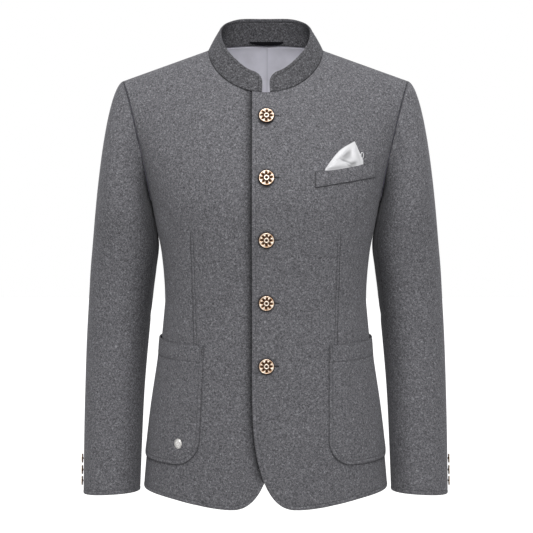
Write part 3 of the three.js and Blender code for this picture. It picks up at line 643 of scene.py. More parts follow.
# Rows of the body from the hem up: how far down the cutaway corner, and the level above it
corner_drop = CUTAWAY["top"] - HEM["front"]
corner_rows = 1 - spaced(corner_drop, STITCHED_COLUMNS, np.array([0.0]), 3.6) / corner_drop
body_levels = np.linspace(CUTAWAY["top"], ARMPIT, 80)[1:]
upper_levels = ARMPIT + spaced(UPPER_SPAN - 0.2, np.array([0.0]), SEAM_COLUMNS * 0.8, 2.7)[1:]
row_fall = np.concatenate([corner_rows, 0 * body_levels, 0 * upper_levels])
row_base = np.concatenate([0 * corner_rows + CUTAWAY["top"], body_levels, upper_levels])
row_rise = np.maximum(row_base - ARMPIT, 0) / UPPER_SPAN


def row_level(angle, base, fall):
    """Level of a row at an angle: its own above the cutaway, and shares of the way to the hem below it."""
    return lerp(base, hem_height(angle), fall)


def span_length(start, end, base, fall):
    """Length of each row between two angles, as a sum of forty short chords."""
    angles = start[:, None] + (end - start)[:, None] * np.linspace(0, 1, 40)
    levels = row_level(np.maximum(angles, 0), base[:, None], fall[:, None])
    return np.linalg.norm(np.diff(torso(angles, levels), axis=1), axis=-1).sum(axis=1)


def front_angles(is_over):
    """Angles of a front's columns on every row: from its edge to below the neck's side, then to the side."""
    reach = -(LAP["over"] if is_over else LAP["under"])
    edge_level = row_level(0.0, row_base, row_fall)
    edge_x = reach + cutaway_at(edge_level)
    start = front_angle(edge_x, edge_level)
    armhole = np.radians(along_table(ARMHOLE, "rise", "front", row_rise))
    side = side_angle(row_level(np.pi / 2, row_base, row_fall))
    end = np.where(row_rise > 0, armhole, side) - SEAM_GAP / 2 / 180
    neck = np.full_like(start, NECK_FRONT)
    slope = cutaway_at(edge_level + 0.5) - cutaway_at(edge_level - 0.5)
    slant = np.minimum(np.hypot(1, slope), 3)
    first_length = span_length(start, neck, row_base, row_fall)
    first = spaced(first_length / slant, STITCHED_COLUMNS, np.array([0.0]), 3.0) * slant[:, None]
    second_length = span_length(neck, end, row_base, row_fall)
    second = spaced(second_length, np.array([0.0]), SEAM_COLUMNS, 3.2)[:, 1:]
    first = lerp(start[:, None], NECK_FRONT, first / first_length[:, None])
    second = lerp(NECK_FRONT, end[:, None], second / second_length[:, None])
    return np.concatenate([first, second], axis=1)


# Soft troughs and ridges of worn cloth, by place on the front: x and z, direction in degrees from level
FRONT_CREASES = [
    {"x": 168, "z": -232, "turn": 62, "length": 46, "width": 9, "depth": 1.3},
    {"x": 156, "z": -262, "turn": 48, "length": 34, "width": 8, "depth": 0.8},
    {"x": 92, "z": -372, "turn": 8, "length": 52, "width": 11, "depth": -0.6},
    {"x": 120, "z": -398, "turn": -6, "length": 46, "width": 9, "depth": 0.7},
    {"x": 60, "z": -352, "turn": 14, "length": 40, "width": 10, "depth": 0.5},
    {"x": 64, "z": -600, "turn": 82, "length": 70, "width": 16, "depth": -0.7},
    {"x": 150, "z": -682, "turn": 80, "length": 44, "width": 14, "depth": 0.7},
]


def creases(across, height, table, share=1.0):
    """Sum of soft troughs: each a bell across its line and a longer bell along it, positive depths sink."""
    total = np.zeros(np.broadcast(across, height).shape)
    for crease in table:
        turn = np.radians(crease["turn"])
        right = across - crease["x"]
        up = height - crease["z"]
        along = right * np.cos(turn) + up * np.sin(turn)
        off = -right * np.sin(turn) + up * np.cos(turn)
        total = total - crease["depth"] * share * bell(off, crease["width"]) * bell(along, crease["length"])
    return total


def dart_x(z):
    """The dart's line: straight, leaning in a little towards the pocket."""
    return DART["x"] + DART["slope"] * (z - DART["top"])


def front_relief(x, z):
    """How far a front stands off its smooth surface: the pinch along the dart, and the creases."""
    dart = 1 - smooth((z - DART["top"] + DART["fade"]) / DART["fade"])
    pinch = -DART["pinch"] * bell(x - dart_x(z), DART["width"]) * dart
    return pinch + creases(x, z, FRONT_CREASES)


# Painted shade in the crevices beside the seams, from 0 to 1, and how wide. The armhole's lower part opens
# out into a deep fold between body and sleeve, from one height to a lower one. Painted shadow also lies
# beside the lap on the under front and close round each button.
CREVICE = {"low_from": -165, "low_fade": 70, "end": -305, "end_fade": 55}
SEAM_SHADE = {"armhole": 0.75, "low": 0.2, "width": 1.1, "low_width": 4, "seam": 0.3, "seam_width": 0.9}
NECK_SHADE = {"neck": 0.6, "shoulder": 0.25, "width": 1.5}
PLACKET = {"at": 4.5, "width": 5, "sink": 1.4, "shade": 0.8, "reach": 7.5, "end": -682, "fade": 25}
BUTTON_SHADE = {"offset": 0.6, "shade": 0.85, "width": 1.6}
FACING_WIDTH = 95


def crevice_low(z):
    """Share from 0 to 1 of the way into the armhole's lower part."""
    return smooth((CREVICE["low_from"] - z) / CREVICE["low_fade"])


def seam_shade(side, top, z, is_neck):
    """Painted crevice shade of a front or back: along the armhole, wider low down, along the side seam and
    along the neck seam.
    """
    low = crevice_low(z)
    armhole = SEAM_SHADE["armhole"] + SEAM_SHADE["low"] * low
    armhole = armhole * bell(side, SEAM_SHADE["width"] + SEAM_SHADE["low_width"] * low)
    armhole = armhole * smooth((z - CREVICE["end"]) / CREVICE["end_fade"])
    seam = SEAM_SHADE["seam"] * bell(side, SEAM_SHADE["seam_width"])
    neck = np.where(is_neck, NECK_SHADE["neck"], NECK_SHADE["shoulder"]) * bell(top, NECK_SHADE["width"])
    return np.maximum(np.maximum(armhole, seam), neck)


def front_grids(is_over):
    """Outer and inner grids of a front on the wearer's left, its marks, and the distance from its edge.

    Beside the lap the under front sinks in a soft trough, with painted shadow where the upper one covers it.
    The upper one has painted shadow close round its buttons. Past the dart's two ends its mark grows fast, so
    that the line fades.
    """
    angles = front_angles(is_over)
    levels = row_level(np.maximum(angles, 0), row_base[:, None], row_fall[:, None])
    surface = torso(angles, levels)
    normals = torso_normal(angles, levels)
    x = surface[..., 0]
    z = surface[..., 2]
    inset = x + (LAP["over"] if is_over else LAP["under"])
    lower = np.where(inset < CUTAWAY["width"], cutaway_height(inset), hem_height(np.maximum(angles, 0)))
    edge = corner_distance(inset - cutaway_at(z), z - lower)
    side = arc_from(surface, 1, True)
    top = arc_from(surface, 0, True)
    nearest = np.minimum(np.minimum(edge, side), top)
    relief = lap_offset(x, is_over) + stitch_relief(edge) + front_relief(x, z)
    # Painted shade in the crevices along the armhole, side and neck seams
    shade = seam_shade(side, top, z, angles < NECK_FRONT)
    if not is_over:
        beside = x - LAP["over"] + cutaway_at(z)
        covered = smooth((z - PLACKET["end"]) / PLACKET["fade"])
        relief = relief - PLACKET["sink"] * covered * bell(beside - PLACKET["at"], PLACKET["width"])
        # Painted shadow of the upper front's edge on the under front
        dim = np.exp(-((np.maximum(beside - 1, 0) / PLACKET["reach"]) ** 1.5))
        shade = np.maximum(shade, PLACKET["shade"] * covered * dim)
    else:
        # Painted shadow round each button, offset down and to one side
        offset = BUTTON_SHADE["offset"]
        for height in BUTTONS["heights"]:
            away = np.hypot(x - BUTTONS["x"] + offset, z - height + offset) - BUTTONS["radius"]
            dim = BUTTON_SHADE["shade"] * bell(np.maximum(away, 0), BUTTON_SHADE["width"])
            shade = np.maximum(shade, dim)
    rolled = roll(nearest, CLOTH)
    outer = moved(surface, normals, relief - CLOTH / 2 * (1 - rolled))
    inner = moved(surface, normals, relief - stitch_relief(edge) - CLOTH / 2 * (1 + rolled))
    past_end = smooth((z - DART["top"] + DART["fade"]) / DART["fade"]) + (z < DART["bottom"])
    marks = {"edge": edge, "dart": (x - dart_x(z)) * (1 + 40 * past_end), "shade": shade}
    return outer, inner, marks, inset


def front_stitches(name, is_over, mirrored):
    """Topstitching of a front: across the lap's top, down the edge, round the corner and along the hem."""
    reach = -(LAP["over"] if is_over else LAP["under"])
    step = STITCH["inset"]
    neck_z = NECK["side_z"] - NECK["front_drop"]
    straight_z = np.linspace(neck_z - step, CUTAWAY["top"], 300)
    fall = np.linspace(0, 1, 200) ** 0.5
    corner_z = lerp(CUTAWAY["top"], HEM["front"], fall)
    corner_x = reach + cutaway_at(corner_z)
    turn = np.arctan2(-np.gradient(corner_z), np.gradient(corner_x) + 1e-9)
    corner_x_in = corner_x + step * np.sin(turn)
    corner_z_in = corner_z + step * np.cos(turn)
    x = np.concatenate([0 * straight_z + reach + step, corner_x_in])
    z = np.concatenate([straight_z, corner_z_in])
    if is_over:
        x = np.concatenate([np.linspace(6, reach + step + 1, 30), x])
        z = np.concatenate([np.full(30, neck_z - step + 1), z])
    angle, level = front_place(x, z)
    side = side_angle(HEM["side"])
    hem_angle = np.linspace(angle[-1], side - 0.02, 200)[1:]
    angle = np.concatenate([angle, hem_angle])
    level = np.concatenate([level, hem_height(hem_angle) + step])
    angle, level = stitch_steps(torso(angle, level), angle, level)
    surface = torso(angle, level)
    out = lap_offset(surface[:, 0], is_over) + front_relief(surface[:, 0], surface[:, 2]) - STITCH["sunk"]
    return torso_stitches(name, angle, level, out, mirrored, grey_thread)


for side_name, is_over in (("left", True), ("right", False)):
    node_name = f"front_{side_name}"
    outer, inner, marks, inset = front_grids(is_over)
    front = cloth_piece(
        f"{node_name}_cloth",
        outer,
        inner,
        not is_over,
        [wool, lining_satin],
        facing=inset > FACING_WIDTH,
        **marks,
    )
    thread = front_stitches(f"{node_name}_topstitching", is_over, not is_over)
    for piece in (front, thread):
        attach(piece, "root")
        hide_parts(node_name)


# The two backs
# Two panels of the same wool joined down the centre back, the side seams curving in from the armholes. They
# are cut without vents, lined with satin, and topstitched along the hem as the fronts are.
BACK_MIDDLE_GAP = 0.0002
BACK_LINING_SHADE = {"shade": 0.45, "reach": 9}
BACK_CREASES = [
    {"x": 150, "z": -225, "turn": -58, "length": 52, "width": 11, "depth": 1.2},
    {"x": 118, "z": -205, "turn": -50, "length": 40, "width": 10, "depth": -0.8},
    {"x": 60, "z": -395, "turn": 5, "length": 60, "width": 12, "depth": 0.9},
    {"x": 74, "z": -362, "turn": -7, "length": 48, "width": 10, "depth": 0.6},
    {"x": 40, "z": -78, "turn": 6, "length": 50, "width": 12, "depth": 0.7},
    {"x": 96, "z": -620, "turn": 86, "length": 80, "width": 18, "depth": -0.8},
]


def back_grids(share):
    """Outer and inner grids of a back on the wearer's left, from the side to the centre back seam."""
    armhole = np.radians(along_table(ARMHOLE, "rise", "back", row_rise))
    side = side_angle(row_level(np.pi / 2, row_base, row_fall))
    start = np.where(row_rise > 0, armhole, side) + SEAM_GAP / 2 / 180
    neck = np.full_like(start, NECK_BACK)
    middle = np.full_like(start, np.pi - BACK_MIDDLE_GAP)
    first_length = span_length(start, neck, row_base, row_fall)
    second_length = span_length(neck, middle, row_base, row_fall)
    first = spaced(first_length, SEAM_COLUMNS, np.array([0.0]), 3.4) / first_length[:, None]
    second = spaced(second_length, np.array([0.0]), SEAM_COLUMNS, 3.4)[:, 1:] / second_length[:, None]
    first = lerp(start[:, None], NECK_BACK, first)
    angles = np.concatenate([first, lerp(NECK_BACK, middle[:, None], second)], axis=1)
    levels = row_level(angles, row_base[:, None], row_fall[:, None])
    surface = torso(angles, levels)
    normals = torso_normal(angles, levels)
    edge = arc_from(surface, 0)
    sides = np.minimum(arc_from(surface, 1), arc_from(surface, 1, True))
    nearest = np.minimum(np.minimum(edge, sides), arc_from(surface, 0, True))
    relief = creases(surface[..., 0], surface[..., 2], BACK_CREASES, share)
    middle_seam = arc_from(surface, 1, True)
    sides = np.where(middle_seam < 12, 50.0, arc_from(surface, 1))
    rolled = roll(nearest, CLOTH)
    outer_out = relief + stitch_relief(edge) - CLOTH / 2 * (1 - rolled)
    inner_out = relief - CLOTH / 2 * (1 + rolled)
    top = arc_from(surface, 0, True)
    # Painted shade along the armhole and neck seams, and on the satin just below the collar
    shade = seam_shade(sides, top, surface[..., 2], angles > NECK_BACK)
    inner_shade = BACK_LINING_SHADE["shade"] * np.exp(-((top / BACK_LINING_SHADE["reach"]) ** 4))
    marks = {"edge": edge, "shade": (shade, inner_shade)}
    return moved(surface, normals, outer_out), moved(surface, normals, inner_out), marks


for side_name, mirrored, share in (("left", False, 1.0), ("right", True, 0.75)):
    node_name = f"back_{side_name}"
    outer, inner, marks = back_grids(share)
    back = cloth_piece(f"{node_name}_cloth", outer, inner, mirrored, [wool, lining_satin], **marks)
    angle = np.linspace(side_angle(HEM["side"]) + 0.02, np.pi - 0.015, 200)
    level = hem_height(angle) + STITCH["inset"]
    angle, level = stitch_steps(torso(angle, level), angle, level)
    surface = torso(angle, level)
    out = creases(surface[:, 0], surface[:, 2], BACK_CREASES, share) - STITCH["sunk"]
    thread = torso_stitches(f"{node_name}_topstitching", angle, level, out, mirrored, grey_thread)
    for piece in (back, thread):
        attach(piece, "root")
        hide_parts(node_name)


# Lining of the backs
# Lilac-grey satin hung inside the upper backs, with a pleat pressed down its middle for ease. It is sewn into
# the seams all round and shows in the neck opening.
LINING = {
    "cloth": 1.0,
    "fold": 3.0,
    "fade": 24.0,
    "depth": 1.3,
    "low": 0.015,
    "high": 0.975,
    "below_top": 4.8,
}
PLEAT = {"degrees": [8.5, 5, 3.4, 2.3, 1.8, 1.5, 0], "shade": 0.3, "at": 2.6, "width": 0.8}
LINING_FOLDS = [
    {"x": -34, "z": -120, "turn": 84, "length": 95, "width": 9, "depth": 1.1},
    {"x": 42, "z": -112, "turn": 97, "length": 80, "width": 8, "depth": 0.9},
    {"x": 18, "z": -150, "turn": 92, "length": 70, "width": 6, "depth": 0.7},
    {"x": -66, "z": -150, "turn": 78, "length": 80, "width": 10, "depth": 0.9},
    {"x": 78, "z": -140, "turn": 102, "length": 80, "width": 10, "depth": 0.8},
]


def lining_grids():
    """Outer and inner grids of the lining: the backs' surface moved in, deeper by the pleat and in folds.

    Its mark paints shade along the folded edge of the pleat.
    """
    rises = np.linspace(LINING["low"], LINING["high"], 80)
    rises = np.concatenate([rises[:-1], LINING["high"] - np.array([0.004, 0.0015, 0])])
    armhole = np.radians(along_table(ARMHOLE, "rise", "back", rises)) + 0.02
    pleat = np.radians(180 - np.array(PLEAT["degrees"]))
    left = lerp(armhole[:, None], pleat[0], np.linspace(0, 1, 60)[:-1])
    left = np.concatenate([left, np.broadcast_to(pleat, (len(rises), len(pleat)))], axis=1)
    right = 2 * np.pi - lerp(armhole[:, None], np.pi, np.linspace(0, 1, 70)[:-1])[:, ::-1]
    turns = np.concatenate([left, right], axis=1)
    is_right = turns > np.pi
    angles = np.where(is_right, 2 * np.pi - turns, turns)
    levels = np.broadcast_to((ARMPIT + UPPER_SPAN * rises)[:, None], angles.shape)
    levels = np.minimum(levels, TOP - LINING["below_top"])
    flip = np.where(is_right[..., None], left_or_right(True), 1)
    surface = torso(angles, levels) * flip
    normals = torso_normal(angles, levels) * flip
    x = surface[..., 0]
    fade = 1 - smooth((x - LINING["fold"]) / LINING["fade"])
    beside = np.where((x < LINING["fold"]) | is_right, 0, LINING["depth"] * fade)
    hang = np.maximum(-creases(x, surface[..., 2], LINING_FOLDS), 0)
    hang = hang * smooth((LINING["high"] - rises) / 0.1)[:, None]
    out = -CLOTH - SEAM_GAP - beside - hang
    # Painted shade along the folded edge of the pleat
    shade = PLEAT["shade"] * bell(x - PLEAT["at"], PLEAT["width"]) * ~is_right
    return moved(surface, normals, out), moved(surface, normals, out - LINING["cloth"]), shade


outer, inner, shade = lining_grids()
lining = cloth_piece("back_lining_cloth", outer, inner, False, [lining_satin], shade=(shade, shade))
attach(lining, "root")
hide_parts("lining_back")


# The sleeves
# Each sleeve is a top piece and an under piece of the wool, seamed front and back and set into the armhole
# with a soft rounded head. The cuff edge is turned in and topstitched.
SLEEVE = {
    "z": [-720, -618, -542, -465, -388, -350, -311, -275],
    "inner": [201.7, 198, 194.4, 188, 180, 175, 170.6, 176],
    "outer": [291.8, 291, 289.6, 287.2, 282.5, 279.8, 276, 272.5],
    "middle_y": [-33, -18, -6, 4, 8, 7, 5, 2],
    "half_depth": [46, 48, 50, 52.5, 56, 58.5, 62, 66],
}
SLEEVE_TOP = -275.0
CUFF = {"z": -705.5, "tilt": 2.4, "rise": 3.6, "roundness": 2.2}
CLEARANCE = {"below": 1.4, "until": 0.6, "lowest": -400}
SLEEVE_HEAD = {"top": [70, 0, -25], "front": [54, -18, -24], "armpit": [7, 0, -8]}
SLEEVE_SEAMS = {"front": 145.1, "back": -42.3, "inset": 0.2}
# Painted shade along the armhole seam, deepest low down, and on the side against the body, strongest near the
# armpit
SLEEVE_SHADE = {
    "armhole": 0.7,
    "low": 0.3,
    "width": 1.1,
    "low_width": 17,
    "cuff": 0.4,
    "armpit": 0.85,
    "from": -600,
    "fade": 260,
}
SLEEVE_CREASES = [
    {"x": 96, "z": -392, "turn": -24, "length": 30, "width": 8, "depth": 1.3},
    {"x": 70, "z": -418, "turn": 14, "length": 34, "width": 9, "depth": -0.9},
    {"x": 110, "z": -436, "turn": 30, "length": 28, "width": 8, "depth": 1.1},
    {"x": 84, "z": -352, "turn": -12, "length": 30, "width": 10, "depth": 0.8},
    {"x": 60, "z": -500, "turn": 74, "length": 70, "width": 13, "depth": 0.8},
    {"x": 20, "z": -330, "turn": 86, "length": 90, "width": 14, "depth": -0.7},
    {"x": -60, "z": -410, "turn": 26, "length": 40, "width": 10, "depth": 1.2},
    {"x": -84, "z": -450, "turn": -18, "length": 36, "width": 9, "depth": 1.0},
    {"x": -50, "z": -360, "turn": 60, "length": 50, "width": 12, "depth": -0.8},
    {"x": 200, "z": -420, "turn": 10, "length": 30, "width": 9, "depth": 1.4},
    {"x": 190, "z": -380, "turn": -14, "length": 28, "width": 9, "depth": 1.1},
    {"x": 100, "z": -630, "turn": 66, "length": 60, "width": 12, "depth": 0.6},
    {"x": -30, "z": -640, "turn": 100, "length": 60, "width": 12, "depth": 0.7},
]


def armhole_point(turn):
    """The armhole seam by degrees round the sleeve: its height rises as (1 + cos) / 2 from armpit to tip."""
    rise = (1 + np.cos(np.radians(turn))) / 2
    front = along_table(ARMHOLE, "rise", "front", rise)
    back = along_table(ARMHOLE, "rise", "back", rise)
    return torso(np.radians(np.where(turn >= 0, front, back)), ARMPIT + UPPER_SPAN * rise)


def sleeve_ring(turn, z):
    """A level section of the sleeve: a rounded oval from its inner to its outer reach, a little forward."""
    inner = along_table(SLEEVE, "z", "inner", z)
    outer = along_table(SLEEVE, "z", "outer", z)
    depth = along_table(SLEEVE, "z", "half_depth", z)
    across, along = oval(np.radians(turn), depth, (outer - inner) / 2, CUFF["roundness"])
    return point((outer + inner) / 2 + along, along_table(SLEEVE, "z", "middle_y", z) - across, z)


def body_reach(y, z):
    """Half width of the body at a place: its rounded oval solved for x."""
    level = np.minimum(z, ARMPIT)
    front = along_table(TORSO, "z", "front", level)
    depth = np.where(y < 0, front, along_table(TORSO, "z", "back", level))
    rest = np.maximum(1 - (np.abs(y) / depth) ** ROUNDNESS, 0)
    return along_table(TORSO, "z", "half_width", level) * rest ** (1 / ROUNDNESS)


def cuff_height(turn):
    """Height of the cuff's edge by degrees round the sleeve: it slants, higher inside and in front."""
    around = np.radians(turn)
    return CUFF["z"] - CUFF["tilt"] * np.cos(around) + CUFF["rise"] * np.sin(around)


def sleeve_surface(turn, down):
    """The sleeve by degrees round it and a place down it: a cubic crown from 0 to 1, then rings up to 2."""
    turn, down = (np.atleast_1d(a).astype(float) for a in np.broadcast_arrays(turn, down))
    turn = np.where(turn > 180, turn - 360, turn)
    to_outer = np.cos(np.radians(turn))
    tube = sleeve_ring(turn, lerp(SLEEVE_TOP, cuff_height(turn), np.maximum(down - 1, 0)))
    start = armhole_point(turn) + np.array([SEAM_GAP, 0, 0])
    end = sleeve_ring(turn, SLEEVE_TOP + 0 * turn)
    top, front, armpit = (np.array(SLEEVE_HEAD[k], float) for k in ("top", "front", "armpit"))
    cosine = to_outer[..., None]
    leave = front + cosine * (top - armpit) / 2 + ((top + armpit) / 2 - front) * cosine**2
    leave[..., 1] = front[1] * np.sin(np.radians(turn))
    fall = (start[..., 2] - end[..., 2])[..., None] * 1.1
    arrive = (sleeve_ring(turn, SLEEVE_TOP - 1 + 0 * turn) - end) * fall
    head = cubic(start, leave, end, arrive, np.minimum(down, 1)[..., None])
    places = np.where((down >= 1)[..., None], tube, head)
    clear = lerp(SEAM_GAP, CLEARANCE["below"], smooth(down / CLEARANCE["until"]))
    least = body_reach(places[..., 1], places[..., 2]) + clear
    is_inside = (to_outer < 0) & (places[..., 2] > CLEARANCE["lowest"])
    places[..., 0] = np.where(is_inside, np.maximum(places[..., 0], least), places[..., 0])
    return places


def sleeve_normal(turn, down):
    """The outward direction of the sleeve, kept just inside its two ends."""
    return outward(sleeve_surface, turn, np.clip(down, 0.012, 1.99), 0.3, 0.01)


def sleeve_relief(turn, z, share):
    """Creases of the sleeve, by degrees round it from the outer side, kept clear of the body."""
    fade = smooth((np.cos(np.radians(turn)) + 0.75) / 0.4) + smooth((CLEARANCE["lowest"] - z) / 30)
    return creases(turn, z, SLEEVE_CREASES, share) * np.minimum(fade, 1)


def sleeve_grids(start, end, share):
    """Outer and inner grids of a sleeve piece between two seams, its rows close together at both ends.

    Its marks paint shade along the armhole seam and on the side that lies against the body.
    """
    inset = SLEEVE_SEAMS["inset"]
    turns = spaced(end - start - 2 * inset, SEAM_COLUMNS, SEAM_COLUMNS, 3.2) + start + inset
    samples = sleeve_surface(turns[None], np.linspace(0, 1, 40)[:, None])
    crown_length = np.linalg.norm(np.diff(samples, axis=0), axis=-1).sum(axis=0)
    shares = np.linspace(0, 1, 56)[1:]
    first = SEAM_COLUMNS[:, None] / crown_length
    crown_rows = np.concatenate([first, lerp(first[-1], 1, shares[:, None])])
    tube = (SLEEVE_TOP - CUFF["z"]) - spaced(SLEEVE_TOP - CUFF["z"], STITCHED_COLUMNS, np.array([0.0]), 3.6)
    tube_rows = 1 + tube[::-1][1:, None] / (SLEEVE_TOP - CUFF["z"]) + 0 * turns
    downs = np.concatenate([crown_rows, tube_rows])
    turns = np.broadcast_to(turns, downs.shape)
    surface = sleeve_surface(turns, downs)
    normals = sleeve_normal(turns, downs)
    edge = arc_from(surface, 0, True)
    sides = np.minimum(arc_from(surface, 1), arc_from(surface, 1, True))
    nearest = np.minimum(np.minimum(edge, sides), arc_from(surface, 0))
    relief = sleeve_relief(turns, surface[..., 2], share)
    rolled = roll(nearest, CLOTH)
    outer_out = relief + stitch_relief(edge) - CLOTH / 2 * (1 - rolled)
    inner_out = relief - CLOTH / 2 * (1 + rolled)
    z = surface[..., 2]
    # Painted shade along the armhole seam and on the side that lies against the body
    low = crevice_low(z)
    armhole = SLEEVE_SHADE["armhole"] + SLEEVE_SHADE["low"] * low
    armhole = armhole * bell(arc_from(surface, 0), SLEEVE_SHADE["width"] + SLEEVE_SHADE["low_width"] * low)
    to_body = smooth((-np.cos(np.radians(turns)) - 0.05) / 0.95)
    high = smooth((z - SLEEVE_SHADE["from"]) / SLEEVE_SHADE["fade"])
    against_body_shade = lerp(SLEEVE_SHADE["cuff"], SLEEVE_SHADE["armpit"], high) * to_body**1.2
    marks = {"edge": edge, "shade": np.maximum(armhole, against_body_shade)}
    return moved(surface, normals, outer_out), moved(surface, normals, inner_out), marks


sleeve_cuts = (
    ("top", SLEEVE_SEAMS["back"], SLEEVE_SEAMS["front"], (0.226, 0.672), 0.102),
    ("under", SLEEVE_SEAMS["front"], SLEEVE_SEAMS["back"] + 360, (0.294, 0.67), 0.0885),
)
for side_name, mirrored, share in (("left", False, 1.0), ("right", True, 0.8)):
    for part_name, start, end, flat, area in sleeve_cuts:
        node_name = f"sleeve_{side_name}_{part_name}"
        outer, inner, marks = sleeve_grids(start, end, share)
        sleeve = cloth_piece(f"{node_name}_cloth", outer, inner, mirrored, [wool, lining_satin], **marks)
        turns = np.linspace(start + 1.5, end - 1.5, 200)
        downs = 2 - STITCH["inset"] / (SLEEVE_TOP - cuff_height(turns))
        turns, downs = stitch_steps(sleeve_surface(turns, downs), turns, downs)
        surface = sleeve_surface(turns, downs)
        normals = sleeve_normal(turns, downs)
        out = sleeve_relief(turns, surface[:, 2], share) - STITCH["sunk"]
        flip = left_or_right(mirrored)
        places = moved(surface, normals, out) * flip
        thread = thread_row(f"{node_name}_topstitching", places, normals * flip, grey_thread)
        for piece in (sleeve, thread):
            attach(piece, "root")
            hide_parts(node_name)


# The stand collar
# A band of the wool, doubled over canvas so that it stands up round the neck, with rounded front ends. It is
# sewn to the neck seam and topstitched along its upper edge and ends.
COLLAR_CLOTH = 3.0
COLLAR_TOP = {"half_width": 71.5, "middle_y": 4, "front": 62, "back": 46}
COLLAR_HEIGHTS = {
    "turn": [0, 20, 44, 58, 73, 90, 110, 124, 146, 180],
    "z": [-38, -33, -14, -1.5, 11.5, 27, 37, 42, 47, 47.5],
}
COLLAR_END = {"left_x": 6.8, "right_x": 5.5, "across": 20, "drop": 18, "bulge": 1.2}
COLLAR_TUCK = {"below": 0.038, "fade": 0.2}
COLLAR_SHADE = {
    "seam": 0.8,
    "width": 1.3,
    "inside": 0.85,
    "at": 106,
    "reach": 20,
    "base": 0.15,
    "base_width": 4,
}
COLLAR_TONES = [[0.44], [0.54], [0.63], [0.68], [0.78]]
COLLAR_START = np.arcsin(COLLAR_END["left_x"] / NECK["half_width"])
COLLAR_STOP = 2 * np.pi - np.arcsin(COLLAR_END["right_x"] / NECK["half_width"])


def collar_surface(turn, share):
    """The collar: straight lines from the neck seam to a smaller, higher oval, bulging a little between."""
    turn, share = (np.atleast_1d(a).astype(float) for a in np.broadcast_arrays(turn, share))
    to_front = np.cos(turn)
    depth = np.where(to_front > 0, COLLAR_TOP["front"], COLLAR_TOP["back"])
    folded = np.degrees(np.where(turn > np.pi, 2 * np.pi - turn, turn))
    height = along_table(COLLAR_HEIGHTS, "turn", "z", folded)
    top = point(COLLAR_TOP["half_width"] * np.sin(turn), COLLAR_TOP["middle_y"] - depth * to_front, height)
    bulge = COLLAR_END["bulge"] * np.sin(np.pi * share)
    return lerp(neckline(turn), top, share[..., None]) + point(np.sin(turn), -to_front, 0) * bulge[..., None]


def collar_normal(turn, share):
    """The outward direction of the collar."""
    return outward(collar_surface, turn, share, 0.004, 0.02)


def collar_width(turn):
    """Distance from the neck seam to the full top edge at a turn."""
    return np.linalg.norm(collar_surface(turn, 1.0) - collar_surface(turn, 0.0), axis=-1)


def collar_end_distance(turn):
    """Distance round the neck from the nearer end of the collar."""
    return NECK["half_width"] * np.minimum(turn - COLLAR_START, COLLAR_STOP - turn)


def collar_end_share(turn):
    """Share of the width left near an end, where the corner is a quarter of an oval."""
    q = np.clip(collar_end_distance(turn) / COLLAR_END["across"], 0, 1)
    drop = COLLAR_END["drop"] * (1 - np.sqrt(1 - (1 - q) ** 2))
    return 1 - drop / collar_width(turn)


def collar_edge(turn, share):
    """Distance of a place on the collar from its top edge and rounded ends."""
    width = collar_width(turn)
    below_full = width * (1 - share)
    q = np.clip(1 - below_full / COLLAR_END["drop"], 0, 1)
    end = COLLAR_END["across"] * (1 - np.sqrt(1 - q**2))
    across = collar_end_distance(turn) - np.where(below_full < COLLAR_END["drop"], end, 0)
    return corner_distance(across, width * (collar_end_share(turn) - share))


ends = spaced(NECK["half_width"] * (COLLAR_STOP - COLLAR_START), STITCHED_COLUMNS, STITCHED_COLUMNS, 2.6)
turns = COLLAR_START + ends / NECK["half_width"]
widths = collar_width(turns)
rows = spaced(widths * collar_end_share(turns), SEAM_COLUMNS, STITCHED_COLUMNS, 2.2).T / widths
rows = rows - COLLAR_TUCK["below"] * np.maximum(1 - rows / COLLAR_TUCK["fade"], 0)
turns = np.broadcast_to(turns, rows.shape)
surface = collar_surface(turns, rows)
normals = collar_normal(turns, rows)
edge = collar_edge(turns, rows)
nearest = np.minimum(edge, arc_from(surface, 0))
rolled = roll(nearest, COLLAR_CLOTH)
relief = 0.25 * np.sin(turns * 9 + 0.6) * smooth(edge / 14) * np.sin(turns * 4.3)
outer_out = relief + stitch_relief(edge) - COLLAR_CLOTH / 2 * (1 - rolled)
inner_out = relief - stitch_relief(edge) - COLLAR_CLOTH / 2 * (1 + rolled)
outer = moved(surface, normals, outer_out)
inner = moved(surface, normals, inner_out)
collar_wool = wool_material("collar wool", (WOOL_TONES * COLLAR_TONES).tolist(), 0.6)
from_seam = np.maximum(arc_from(surface, 0) - COLLAR_TUCK["below"] * widths, 0)
folded = np.degrees(np.minimum(turns, 2 * np.pi - turns))
# Painted shade along the neck seam, and inside the collar towards its sides and along its lower edge
outer_shade = COLLAR_SHADE["seam"] * bell(from_seam, COLLAR_SHADE["width"])
inner_shade = COLLAR_SHADE["inside"] * bell(folded - COLLAR_SHADE["at"], COLLAR_SHADE["reach"])
inner_shade = inner_shade + COLLAR_SHADE["base"] * bell(from_seam, COLLAR_SHADE["base_width"])
marks = {"edge": edge, "shade": (outer_shade, inner_shade)}
collar = cloth_piece("collar_cloth", outer, inner, False, [collar_wool], **marks)


